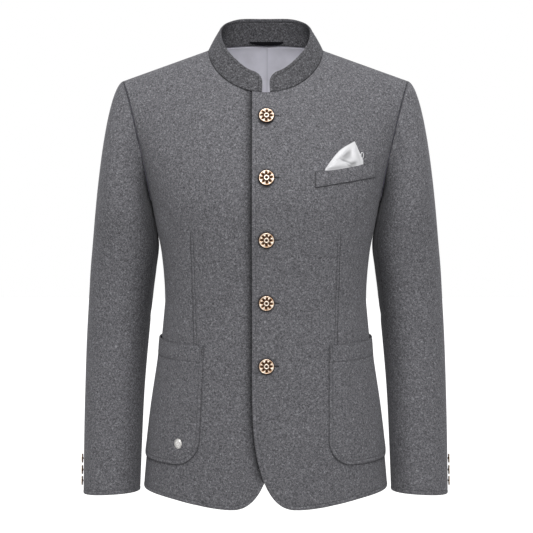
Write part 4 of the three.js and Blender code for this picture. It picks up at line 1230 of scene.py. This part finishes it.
def collar_thread(name, out, facing):
    """Stitches along the collar, at the place on each turn where the distance from its edge is the inset."""
    turns = np.linspace(COLLAR_START + 0.068, COLLAR_STOP - 0.068, 400)
    shares = np.linspace(0.02, 0.99, 300)
    distance = collar_edge(turns[None], shares[:, None])
    upper = np.argmax(shares[:, None] * (distance >= STITCH["inset"]), axis=0)
    heights = np.maximum(shares[upper], 0.05)
    down = np.linspace(heights[0], 0.08, 20)[:-1]
    end_turns = (np.full(19, turns[0]), np.full(19, turns[-1]))
    path_turns = np.concatenate([end_turns[0], turns, end_turns[1]])
    path_shares = np.concatenate([down[::-1], heights, down])
    path = collar_surface(path_turns, path_shares)
    path_turns, path_shares = stitch_steps(path, path_turns, path_shares)
    normals = collar_normal(path_turns, path_shares)
    places = collar_surface(path_turns, path_shares) + normals * out
    return thread_row(name, places, normals * facing, grey_thread)


collar_outside = collar_thread("collar_topstitching", -STITCH["sunk"], 1)
collar_inside = collar_thread("collar_topstitching_inside", STITCH["sunk"] - COLLAR_CLOTH, -1)
for piece in (collar, collar_outside, collar_inside):
    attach(piece, "root")
    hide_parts("collar")


# The hanger loop
# A folded black tape sewn by both ends under the collar seam at the centre back, standing a little off it.
LOOP = {
    "from": 161,
    "to": 197,
    "bottom": 0.09,
    "top": 0.135,
    "sag": 0.1,
    "bow": 1.6,
    "gap": 0.8,
    "thick": 0.9,
}


def tape_material(name):
    """Woven tape: near black, with fine ribs across it."""
    material, tree, shader = new_material(name)
    place = tree.nodes.new("ShaderNodeTexCoord").outputs["Object"]
    ribs = tree.nodes.new("ShaderNodeTexWave")
    ribs.inputs["Scale"].default_value = 420
    ribs.inputs["Distortion"].default_value = 1.5
    tree.links.new(place, ribs.inputs["Vector"])
    height = ribs.outputs["Fac"]
    colour = ramp(tree, height, [(0.2, (0.004, 0.004, 0.005)), (0.8, (0.012, 0.012, 0.014))])
    tree.links.new(colour, shader.inputs["Base Color"])
    tree.links.new(bump(tree, height, 0.4, 0.0003), shader.inputs["Normal"])
    shader.inputs["Roughness"].default_value = 0.9
    shader.inputs["Specular IOR Level"].default_value = 0.05
    return material


black_tape = tape_material("black tape")
along = np.linspace(0, 1, 60)[None]
across = np.linspace(0, 1, 12)[:, None]
turns = np.radians(lerp(LOOP["from"], LOOP["to"], along)) + 0 * across
shares = lerp(LOOP["bottom"] - LOOP["sag"] * np.sin(np.pi * along) ** 0.8, LOOP["top"], across)
depth = -COLLAR_CLOTH - LOOP["gap"] - LOOP["bow"] * np.sin(np.pi * along) + 0 * across
surface = collar_surface(turns, shares)
normals = collar_normal(turns, shares)
outer = moved(surface, normals, depth)
inner = moved(surface, normals, depth - LOOP["thick"])
loop = cloth_piece("hanger_tape", outer, inner, False, [black_tape])
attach(loop, "root")
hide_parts("hanger_loop")


# The patch pockets
# A square of the wool with rounded lower corners on each front, its top turned in as a band. It is stitched
# down round its sides and bottom, and the band by a row across.
PATCH = {"cloth": 2.0, "gap": 0.5, "top": -458, "bottom": -648, "width": 170, "corner": 42, "band": 27}
PATCH_EDGES = {"left": (97.6, 98), "right": (95, 104)}
POCKET_CREASES = [
    {"x": 60, "z": -520, "turn": 76, "length": 50, "width": 15, "depth": 0.5},
    {"x": 118, "z": -570, "turn": 100, "length": 46, "width": 13, "depth": -0.5},
    {"x": 84, "z": -474, "turn": 3, "length": 40, "width": 7, "depth": -0.5},
]
PATCH_FULL = PATCH["top"] - PATCH["bottom"]
PATCH_MOUTH = {"open": 1.6, "reach": 40, "soft": 20, "deepest": -0.45}
BARTACK = {"length": 1.9, "radius": 0.42}


def pocket_places(side_name, along, height):
    """Angle and level on the torso of a place on a pocket, along its width and up from its bottom."""
    top_x, bottom_x = PATCH_EDGES[side_name]
    z = PATCH["bottom"] + height
    edge_x = lerp(bottom_x, top_x, height / PATCH_FULL)
    start = ring_angle(edge_x, z, along_table(TORSO, "z", "front", z))
    steps = np.linspace(0, 1, 60)
    fan = start[..., None] + steps * 1.15
    arcs = torso(fan, z[..., None] + 0 * fan)
    lengths = np.linalg.norm(np.diff(arcs, axis=-2), axis=-1).mean(axis=-1) / (steps[1] * 1.15)
    angle = start + along / lengths
    for _ in range(3):
        run = torso(start[..., None] + (angle - start)[..., None] * steps, z[..., None] + 0 * fan)
        length = np.linalg.norm(np.diff(run, axis=-2), axis=-1).sum(axis=-1)
        angle = start + (angle - start) * along / np.maximum(length, 1e-6)
    return np.where(along < 1e-6, start, angle), z


def rounded_distance(along, height):
    """Distance in from the sides and rounded bottom of a pocket: that of a box with round corners."""
    radius = PATCH["corner"]
    from_side = np.minimum(along, PATCH["width"] - along)
    in_corner = (from_side < radius) & (height < radius)
    round_part = radius - np.hypot(radius - from_side, radius - height)
    return np.where(in_corner, round_part, np.minimum(from_side, height))


def pocket_rise(along, height, level, edge):
    """How far a pocket stands off the front: opening towards its mouth, with shallow creases of its own."""
    reach = PATCH_MOUTH["reach"]
    mouth = PATCH_MOUTH["open"] * smooth((height - PATCH_FULL + reach) / reach) * smooth(edge / reach)
    soft = creases(along, level, POCKET_CREASES) * smooth(edge / PATCH_MOUTH["soft"])
    return PATCH["gap"] + mouth + np.maximum(soft, PATCH_MOUTH["deepest"])


def pocket_grids(side_name):
    """Outer and inner grids of a pocket, their points spread along each row between its two sides."""
    heights = spaced(PATCH_FULL, STITCHED_COLUMNS, SEAM_COLUMNS, 2.8)
    band = PATCH_FULL - PATCH["band"] + np.array([-1.4, -0.7, 0, 0.7, 1.4])
    low = np.array([0.08, 0.18])
    keep = np.abs(heights[:, None] - band).min(axis=1) > 1.0
    heights = np.sort(np.concatenate([heights[keep], band, low]))
    fall = np.maximum(1 - heights / PATCH["corner"], 0)
    inset = PATCH["corner"] * (1 - np.sqrt(1 - fall**2))
    slant = np.minimum(1 / np.maximum(np.sqrt(1 - fall**2), 0.4), 2.2)
    rows_width = PATCH["width"] - 2 * inset
    along = spaced(rows_width / slant, STITCHED_COLUMNS, STITCHED_COLUMNS, 3.0) * slant[:, None]
    along = along + inset[:, None]
    heights = heights[:, None] + 0 * along
    angle, level = pocket_places(side_name, along, heights)
    surface = torso(angle, level)
    normals = torso_normal(angle, level)
    edge = rounded_distance(along, heights)
    nearest = np.minimum(edge, PATCH_FULL - heights)
    stitched = stitch_relief(edge) + stitch_relief(PATCH_FULL - heights - PATCH["band"] + STITCH["inset"])
    relief = pocket_rise(along, heights, level, edge) + stitched
    rolled = roll(nearest, PATCH["cloth"])
    outer_out = relief + PATCH["cloth"] * (0.5 + 0.5 * rolled)
    inner_out = relief - stitched + PATCH["cloth"] * (0.5 - 0.5 * rolled)
    from_band = np.abs(PATCH_FULL - heights - PATCH["band"])
    line = np.minimum(np.abs(edge - STITCH["inset"]), from_band) + STITCH["inset"]
    # Painted shade along the pocket's edges, where they meet the front
    outline = np.minimum(edge, (PATCH_FULL - heights) * 1.5)
    marks = {"edge": line, "shade": 0.5 * bell(outline, 1.0)}
    return moved(surface, normals, outer_out), moved(surface, normals, inner_out), marks


def pocket_stitches(name, side_name, mirrored):
    """Two rows of stitches on a pocket: round its sides and bottom, and across below the band."""
    step = STITCH["inset"]
    radius = PATCH["corner"] - step
    corner = np.linspace(0, np.pi / 2, 30)
    middle = PATCH["width"] - PATCH["corner"]
    down = np.linspace(PATCH_FULL - 3, PATCH["corner"], 60)
    along = np.concatenate([
        0 * down + step,
        PATCH["corner"] - radius * np.cos(corner),
        PATCH["corner"] * (1 - np.linspace(0, 1, 40)) + middle * np.linspace(0, 1, 40),
        middle + radius * np.sin(corner),
        0 * down + PATCH["width"] - step,
    ])
    height = np.concatenate([
        down,
        PATCH["corner"] - radius * np.sin(corner),
        np.full(40, float(step)),
        PATCH["corner"] - radius * np.cos(corner),
        down[::-1],
    ])
    band_along = np.linspace(1.5, PATCH["width"] - 1.5, 60)
    band_height = np.full(60, float(PATCH_FULL - PATCH["band"]))
    threads = []
    for row_along, row_height in ((along, height), (band_along, band_height)):
        angle, level = pocket_places(side_name, row_along, row_height)
        path = torso(angle, level)
        angle, level, row_along, row_height = stitch_steps(path, angle, level, row_along, row_height)
        edge = rounded_distance(row_along, row_height)
        out = pocket_rise(row_along, row_height, level, edge) + PATCH["cloth"] - STITCH["sunk"]
        row_name = f"{name}_{len(threads)}"
        threads.append(torso_stitches(row_name, angle, level, out, mirrored, grey_thread))
    return threads


def pocket_bartacks(name, side_name, mirrored):
    """Close dark stitches that hold the two upper corners: a row down from the mouth on each side."""
    drop = np.linspace(2.5, 22, 14)
    along = np.concatenate([0 * drop + 2.2, 0 * drop + PATCH["width"] - 2.2])
    angle, level = pocket_places(side_name, along, PATCH_FULL - np.concatenate([drop, drop]))
    out = PATCH["gap"] + PATCH["cloth"] + 0.2
    return torso_stitches(name, angle, level, out, mirrored, dark_thread, **BARTACK)


dark_thread = thread_material("dark thread", (0.014, 0.014, 0.016))
pocket_wool = wool_material("pocket wool", WOOL_TONES.tolist(), 0.36)
for side_name, mirrored in (("left", False), ("right", True)):
    node_name = f"pocket_{side_name}"
    outer, inner, marks = pocket_grids(side_name)
    pocket = cloth_piece(f"{node_name}_cloth", outer, inner, mirrored, [pocket_wool], **marks)
    threads = pocket_stitches(f"{node_name}_topstitching", side_name, mirrored)
    threads.append(pocket_bartacks(f"{node_name}_bartacks", side_name, mirrored))
    for piece in (pocket, *threads):
        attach(piece, "root")
        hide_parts(node_name)


# The breast welt
# A slanting strip of the wool over the mouth of the breast pocket, doubled, and sewn down along its lower
# edge and its two ends.
WELT = {"inner_x": 75, "outer_x": 170, "inner_z": -213, "outer_z": -199.5, "height": 23.5}


def welt_bottom(x):
    """Height of the welt's lower edge at an x: a straight line."""
    share = (x - WELT["inner_x"]) / (WELT["outer_x"] - WELT["inner_x"])
    return lerp(WELT["inner_z"], WELT["outer_z"], share)


across = spaced(WELT["outer_x"] - WELT["inner_x"], STITCHED_COLUMNS, STITCHED_COLUMNS, 3.0)[None]
height = spaced(WELT["height"], SEAM_COLUMNS, SEAM_COLUMNS, 2.0)[:, None]
x = WELT["inner_x"] + across + 0 * height
z = welt_bottom(x) + height
angle, level = front_place(x, z)
surface = torso(angle, level)
normals = torso_normal(angle, level)
from_end = np.minimum(across, WELT["outer_x"] - WELT["inner_x"] - across) + 0 * height
nearest = np.minimum(np.minimum(height, WELT["height"] - height), from_end)
rolled = roll(nearest, PATCH["cloth"])
puff = 0.35 * smooth(nearest / 8)
fit = front_relief(x, z)
outer_out = PATCH["gap"] + PATCH["cloth"] * (0.5 + 0.5 * rolled) + puff + fit
inner_out = PATCH["gap"] + PATCH["cloth"] * (0.5 - 0.5 * rolled) + fit
outer = moved(surface, normals, outer_out)
inner = moved(surface, normals, inner_out)
# Painted shade along the welt's outline
outline = np.minimum(np.minimum(height * 1.35, from_end), (WELT["height"] - height) * 1.7)
shade = 0.75 * bell(outline, 1.1)
welt = cloth_piece("breast_welt_cloth", outer, inner, False, [wool], shade=shade)
threads = []
for place in (2.0, WELT["outer_x"] - WELT["inner_x"] - 2.0):
    x = np.full(6, WELT["inner_x"] + place)
    z = welt_bottom(x) + np.linspace(2, WELT["height"] - 2, 6)
    angle, level = front_place(x, z)
    out = PATCH["gap"] + PATCH["cloth"] + front_relief(x, z) + 0.02
    row_name = f"breast_welt_stitches_{len(threads)}"
    threads.append(torso_stitches(row_name, angle, level, out, False, grey_thread))
for piece in (welt, *threads):
    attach(piece, "root")
    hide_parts("breast_welt")


# The pocket square
# A silver-white satin square folded to a point and tucked behind the welt, its upper edge turned over in
# soft folds that run down into the pocket.
SQUARE_CLOTH = 1.5
SQUARE = {
    "x": [90, 98, 106, 114, 122, 130, 136.5, 139.5, 142.5, 145.5, 148, 150],
    "top": [-186, -174.5, -164.5, -156.4, -151.3, -147.2, -143.8, -150.5, -157.2, -163.9, -169.5, -174],
}
SQUARE_FOLDS = [
    {"x": 114, "z": -165, "turn": 47, "length": 26, "width": 4.2, "depth": -1.7},
    {"x": 125, "z": -165, "turn": 42, "length": 11, "width": 5.5, "depth": 2.3},
    {"x": 106, "z": -181, "turn": 14, "length": 16, "width": 3.2, "depth": -1.6},
    {"x": 122, "z": -175, "turn": -24, "length": 10, "width": 1.5, "depth": 2.0},
    {"x": 126, "z": -180, "turn": -30, "length": 9, "width": 1.5, "depth": 1.8},
    {"x": 124, "z": -178, "turn": -28, "length": 9, "width": 1.4, "depth": -1.6},
    {"x": 134, "z": -179, "turn": 20, "length": 6, "width": 3.2, "depth": 2.6},
    {"x": 135, "z": -160, "turn": 108, "length": 15, "width": 4.4, "depth": -1.0},
    {"x": 141, "z": -167, "turn": 112, "length": 14, "width": 2.6, "depth": 0.8},
    {"x": 110, "z": -172, "turn": 30, "length": 12, "width": 1.6, "depth": 0.8},
]
square_satin = satin_material("square satin", (0.8, 0.8, 0.82), 0.3, 3200)
x = np.interp(np.linspace(0, 1, 110), np.linspace(0, 1, len(SQUARE["x"])), SQUARE["x"])[None]
top = np.interp(x[0], SQUARE["x"], SQUARE["top"])[None]
share = np.concatenate([np.linspace(0, 0.97, 46), [0.985, 1]])[:, None]
base = welt_bottom(x) + WELT["height"] + SEAM_GAP - 3
z = lerp(base, top, share)
x = x + 0 * z
angle, level = front_place(x, z)
surface = torso(angle, level)
normals = torso_normal(angle, level)
from_edge = np.minimum(np.minimum(top - z, (x - SQUARE["x"][0]) * 0.8), (SQUARE["x"][-1] - x) * 0.9)
swell = 2.6 * smooth(from_edge / 16) + creases(x, z, SQUARE_FOLDS) * smooth(from_edge / 5)
swell = np.maximum(swell, 0) * smooth((z - base) / 5)
rolled = roll(from_edge, SQUARE_CLOTH)
out = PATCH["gap"] + 0.2 + swell
outer = moved(surface, normals, out + SQUARE_CLOTH * (0.5 + 0.5 * rolled))
inner = moved(surface, normals, out + SQUARE_CLOTH * (0.5 - 0.5 * rolled))
# Painted shade in the hollows of the folds and along the edges
hollows = np.maximum(-creases(x, z, SQUARE_FOLDS), 0)
shade = np.maximum(0.5 * np.minimum(hollows / 1.8, 1), 0.45 * bell(from_edge, 0.8))
square = cloth_piece("pocket_square_cloth", outer, inner, False, [square_satin], shade=shade)

# The square's rolled hem curls over in a small loop at its right: a thin tube round an upright oval
CURL = {"x": 147.6, "z": -166.0, "out": 2.6, "half_width": 2.3, "half_height": 4.6, "thick": 0.75}
upward = np.array([0.0, 0.0, 1.0])
turn = np.arange(40)[:, None, None] * 2 * np.pi / 40
around = np.arange(10)[None, :, None] * 2 * np.pi / 10
angle, level = front_place(np.array([CURL["x"]]), np.array([CURL["z"]]))
out_of_chest = torso_normal(angle, level)[0]
middle = torso(angle, level)[0] + CURL["out"] * out_of_chest
across_chest = np.cross(upward, out_of_chest)
spoke = np.cos(turn) * across_chest * CURL["half_width"] + np.sin(turn) * upward * CURL["half_height"]
outwards = spoke / np.linalg.norm(spoke, axis=-1, keepdims=True)
tube = CURL["thick"] * (np.cos(around) * outwards + np.sin(around) * out_of_chest)
index = np.arange(400).reshape(40, 10)
after = np.roll(index, -1, axis=0)
corners = [index, after, np.roll(after, -1, axis=1), np.roll(index, -1, axis=1)]
quads = np.stack(corners, axis=-1).reshape(-1, 4)
curl = make_object("pocket_square_curl", middle + spoke + tube, quads.tolist(), [square_satin])
for piece in (square, curl):
    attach(piece, "root")
    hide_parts("pocket_square")


# The front buttons and their buttonholes
# Five cast metal buttons with a plain rosette, copper-gold on the raised parts and dark in the hollows, on
# a short shank. Each has a level buttonhole worked in the left front.
BUTTON_SIDE = {"radius": [2.6, 2.6, 10.4, 11.2, 11.8, 12], "height": [0, 1.3, 1.3, 1.4, 1.6, 1.9]}


def rosette(radius, turn, lobes):
    """Height of a button's face: a broad rim with drop-shaped hollows between spokes, a ringed middle."""
    rim = 1.45 * smooth((radius - 7.0) / 1.3) * (1 - smooth((radius - 11.0) / 0.9))
    drop = np.abs(np.cos(lobes * turn / 2)) ** 2.6 * bell(radius - 8.2, 1.7)
    spoke = 1.3 * smooth((radius - 4.6) / 0.8) * (1 - smooth((radius - 7.4) / 1.4))
    spokes = spoke * np.abs(np.sin(lobes * turn / 2)) ** 5
    ring = 1.75 * np.exp(-(((radius - 3.1) / 1.15) ** 4))
    uneven = 0.15 * np.cos(3 * turn + 0.7) * smooth((radius - 5) / 3)
    return 1.6 + rim * (1 - 0.95 * drop) + spokes + ring + uneven


def turned_faces(rows, segments):
    """Faces of a turned body, its rings numbered from the bottom: quads between them, a fan at each end."""
    index = np.arange(rows * segments).reshape(rows, segments)
    after = np.roll(index, -1, axis=1)
    quads = np.stack([index[:-1], after[:-1], after[1:], index[1:]], axis=-1).reshape(-1, 4)
    bottom = np.stack([np.full(segments, index.size), after[0], index[0]], axis=-1)
    top = np.stack([np.full(segments, index.size + 1), index[-1], after[-1]], axis=-1)
    return quads.tolist() + bottom.tolist() + top.tolist()


def button_mesh(name, base, axis, up, size, lobes, segments, material, deeper=0.0):
    """A button by turns round its axis: rings up the shank and side, then the face's rings to the middle.

    Deeper is how much higher than usual the side wall and the face stand, for a thicker button.
    """
    turn = np.arange(segments) * 2 * np.pi / segments
    face_radius = np.linspace(11.7, 0.25, 34)
    side_radius = np.array(BUTTON_SIDE["radius"], float)
    side_height = np.array(BUTTON_SIDE["height"], float)
    radius = np.concatenate([side_radius, face_radius])[:, None] + 0 * turn
    face_height = rosette(face_radius[:, None], turn, lobes)
    height = np.concatenate([side_height[:, None] + 0 * turn, face_height])
    scale = size / 12
    side = np.cross(up, axis)
    side = side / np.linalg.norm(side)
    upright = np.cross(axis, side)
    across = radius[..., None] * (np.cos(turn)[:, None] * side + np.sin(turn)[:, None] * upright)
    raised = height + np.where(np.arange(len(radius)) > 3, deeper, 0)[:, None]
    points = base + scale * (across + raised[..., None] * axis)
    ends = base + scale * np.stack([0 * axis, (deeper + float(rosette(0.0, 0.0, lobes))) * axis])
    points = np.concatenate([points.reshape(-1, 3), ends])
    relief = np.concatenate([((0.6 * height + 0.4 * raised) / 4).ravel(), [0, 0.4]])
    faces = turned_faces(len(radius), segments)
    return make_object(name, points, faces, [material], marks={"relief": relief}, sharp=75)


def patina_material(name, bright, warm, dark):
    """Antique metal: dark and dull in hollows, bright and smooth on raised parts, with uneven wear."""
    material, tree, shader = new_material(name)
    layer = tree.nodes.new("ShaderNodeAttribute")
    layer.attribute_name = "relief"
    place = tree.nodes.new("ShaderNodeTexCoord").outputs["Object"]
    wear = noise(tree, place, 900, 3, 0.6)
    worn = maths(tree, "MULTIPLY_ADD", maths(tree, "SUBTRACT", wear, 0.5), 0.35, layer.outputs["Fac"])
    colour = ramp(tree, worn, [(0.5, dark), (0.66, warm), (0.8, bright)])
    tree.links.new(colour, shader.inputs["Base Color"])
    shader.inputs["Metallic"].default_value = 0.85
    shader.inputs["Specular Tint"].default_value = (0.5, 0.36, 0.24, 1)
    rough = ramp(tree, worn, [(0.5, (0.7, 0.7, 0.7)), (0.8, (0.3, 0.3, 0.3))])
    tree.links.new(rough, shader.inputs["Roughness"])
    tree.links.new(bump(tree, wear, 0.15, 0.0002), shader.inputs["Normal"])
    return material


copper = patina_material("antique copper", (0.94, 0.84, 0.72), (0.42, 0.24, 0.13), (0.05, 0.026, 0.015))
BUTTON_TILTS = [3, -4, 2, 5, -2]
SLIT = {"from": -3, "to": 19.8, "half": 0.55, "stitches": 84}
SLIT_THREAD = {"length": 1.5, "radius": 0.6}

for k, z in enumerate(BUTTONS["heights"]):
    angle, level = front_place(BUTTONS["x"], z)
    axis = torso_normal(angle, level)[0]
    base = torso(angle, level)[0] + (LAP["lift"] + SEAM_GAP) * axis
    node_name = f"front_button_{k + 1}"
    tilt = np.radians(BUTTON_TILTS[k])
    lean = upward * np.cos(tilt) + np.array([1.0, 0, 0]) * np.sin(tilt)
    button = button_mesh(f"{node_name}_rosette", base, axis, lean, BUTTONS["radius"], 8, 120, copper)
    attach(button, "root")
    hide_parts(node_name)
    slit_x = np.linspace(SLIT["from"], SLIT["to"], 50)
    slit_angle, slit_level = front_place(slit_x, z + 0 * slit_x)
    normals = torso_normal(slit_angle, slit_level)
    middle = moved(torso(slit_angle, slit_level), normals, lap_offset(slit_x, True) + 0.02)
    rows = [middle + upward * SLIT["half"], middle - upward * SLIT["half"]]
    ends = np.linspace(-SLIT["half"], SLIT["half"], 4)
    bar = middle[-1] + ends[:, None] * upward + np.array([0.6, 0, 0])
    path = np.concatenate([rows[0], bar[::-1], rows[1][::-1]])
    path_normals = np.concatenate([normals, np.repeat(normals[-1:], 4, axis=0), normals[::-1]])
    place = np.arange(len(path))
    dense = np.linspace(0, len(path) - 1, SLIT["stitches"])
    path = np.stack([np.interp(dense, place, values) for values in path.T], axis=-1)
    path_normals = np.stack([np.interp(dense, place, values) for values in path_normals.T], axis=-1)
    edging = thread_row(f"buttonhole_{k + 1}", path, path_normals, dark_thread, **SLIT_THREAD)
    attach(edging, "root")
    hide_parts("front_left")


# The cuff buttons
# Three smaller buttons of the same metal on the outer back side of each cuff, set close together along the
# seam, with their shanks sewn through the cloth.
CUFF_BUTTONS = {"heights": [-651, -669, -686], "turn": 6.0, "radius": 7.5, "deeper": 2.0}
for side_name, mirrored in (("left", False), ("right", True)):
    flip = left_or_right(mirrored)
    for k, z in enumerate(CUFF_BUTTONS["heights"]):
        down = 1 + (z - SLEEVE_TOP) / (CUFF["z"] - SLEEVE_TOP)
        axis = sleeve_normal(CUFF_BUTTONS["turn"], down)[0]
        base = sleeve_surface(CUFF_BUTTONS["turn"], down)[0] + axis * SEAM_GAP
        node_name = f"cuff_button_{side_name}_{k + 1}"
        button = button_mesh(
            f"{node_name}_rosette",
            base * flip,
            axis * flip,
            upward,
            CUFF_BUTTONS["radius"],
            8,
            96,
            copper,
            CUFF_BUTTONS["deeper"],
        )
        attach(button, "root")
        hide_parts(node_name)


# The pocket stud
# A small plain domed stud of bright metal, taller than wide, fixed through the cloth near the bottom of the
# right pocket.
STUD = {"x": 134.8, "z": -614.3, "stretch": 1.2, "segments": 48, "top": 2.96}
STUD_SIDE = {"radius": [5.6, 6.7, 6.8, 6.5, 6.0], "height": [0, 0.15, 0.8, 1.15, 0.9]}
STUD_DOME = {"radius": 5.8, "base": 1.0, "rise": 1.95}
stud_material, tree, shader = new_material("bright stud")
place = tree.nodes.new("ShaderNodeTexCoord").outputs["Object"]
brushed = noise(tree, place, 420, 2, 0.5)
silver = ramp(tree, brushed, [(0.35, (0.42, 0.41, 0.4)), (0.65, (0.8, 0.79, 0.77))])
tree.links.new(silver, shader.inputs["Base Color"])
tree.links.new(bump(tree, brushed, 0.15, 0.0002), shader.inputs["Normal"])
shader.inputs["Metallic"].default_value = 0.9
shader.inputs["Roughness"].default_value = 0.34

angle = front_angle(STUD["x"], STUD["z"])
axis = torso_normal(angle, STUD["z"])[0]
base = torso(angle, STUD["z"])[0] + axis * (PATCH["gap"] + PATCH["cloth"] + SEAM_GAP)
base = base * left_or_right(True)
axis = axis * left_or_right(True)
turn = np.arange(STUD["segments"]) * 2 * np.pi / STUD["segments"]
lift = np.linspace(0, np.pi / 2, 16)[:-1]
radius = np.concatenate([STUD_SIDE["radius"], STUD_DOME["radius"] * np.cos(lift)])
height = np.concatenate([STUD_SIDE["height"], STUD_DOME["base"] + STUD_DOME["rise"] * np.sin(lift)])
side = np.cross(upward, axis)
side = side / np.linalg.norm(side)
upright = np.cross(axis, side) * STUD["stretch"]
across = radius[:, None, None] * (np.cos(turn)[:, None] * side + np.sin(turn)[:, None] * upright)
points = base + across + height[:, None, None] * axis
points = np.concatenate([points.reshape(-1, 3), [base, base + STUD["top"] * axis]])
faces = turned_faces(len(radius), STUD["segments"])
stud = make_object("pocket_stud_dome", points, faces, [stud_material], sharp=60)
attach(stud, "root")
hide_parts("pocket_stud")


# The studio
# A plain pale floor well below the hanging garment, a white surround, and large soft lights from the front
# and above. The camera stands three metres off, six degrees above the level.
CAMERA = {"location": (0.0014, -2.98357, -0.03341), "tilt": 84.0, "lens": 126.64, "sensor": 36.0}
LIGHTS = [
    {"name": "key", "at": (0.15, -2.6, 1.5), "aim": (0, 0, -0.3), "size": 1.6, "power": 58},
    {"name": "top", "at": (0.0, -0.5, 2.4), "aim": (0, 0, -0.2), "size": 1.4, "power": 16},
]
FLOOR = {"half": 9000.0, "z": -1500.0}


def aimed(obj, at, aim):
    """Stands an object at a place and turns its -Z axis to face another."""
    obj.location = at
    away = np.array(at, float) - np.array(aim, float)
    tilt = np.arctan2(np.hypot(away[0], away[1]), away[2])
    obj.rotation_euler = (tilt, 0, np.arctan2(away[0], -away[1]))


for light in LIGHTS:
    data = bpy.data.lights.new(light["name"], "AREA")
    data.shape = "SQUARE"
    data.size = light["size"]
    data.energy = light["power"]
    lamp = bpy.data.objects.new(light["name"], data)
    bpy.context.scene.collection.objects.link(lamp)
    aimed(lamp, light["at"], light["aim"])

floor_material, tree, shader = new_material("pale floor")
shader.inputs["Base Color"].default_value = (0.9, 0.9, 0.9, 1)
shader.inputs["Roughness"].default_value = 0.9
shader.inputs["Emission Color"].default_value = (1, 1, 1, 1)
shader.inputs["Emission Strength"].default_value = 0.85
corners = FLOOR["half"] * np.array([[-1, -1, 0], [1, -1, 0], [1, 1, 0], [-1, 1, 0]])
corners[:, 2] = FLOOR["z"]
floor = make_object("floor", corners, [[0, 1, 2, 3]], [floor_material])
floor.visible_diffuse = False
floor.visible_glossy = False

world = bpy.data.worlds.new("white surround")
bpy.context.scene.world = world
world.use_nodes = True
tree = world.node_tree
background = tree.nodes["Background"]
background.inputs["Color"].default_value = (1, 1, 1, 1)
path = tree.nodes.new("ShaderNodeLightPath")
fill = maths(tree, "MULTIPLY_ADD", path.outputs["Is Diffuse Ray"], -0.62, 1.0)
tree.links.new(fill, background.inputs["Strength"])

camera_data = bpy.data.cameras.new("camera")
camera_data.lens = CAMERA["lens"]
camera_data.sensor_width = CAMERA["sensor"]
camera_data.clip_end = 60
camera = bpy.data.objects.new("camera", camera_data)
camera.location = CAMERA["location"]
camera.rotation_euler = (np.radians(CAMERA["tilt"]), 0, 0)
bpy.context.scene.collection.objects.link(camera)
bpy.context.scene.camera = camera
bpy.context.scene.view_settings.view_transform = "Standard"
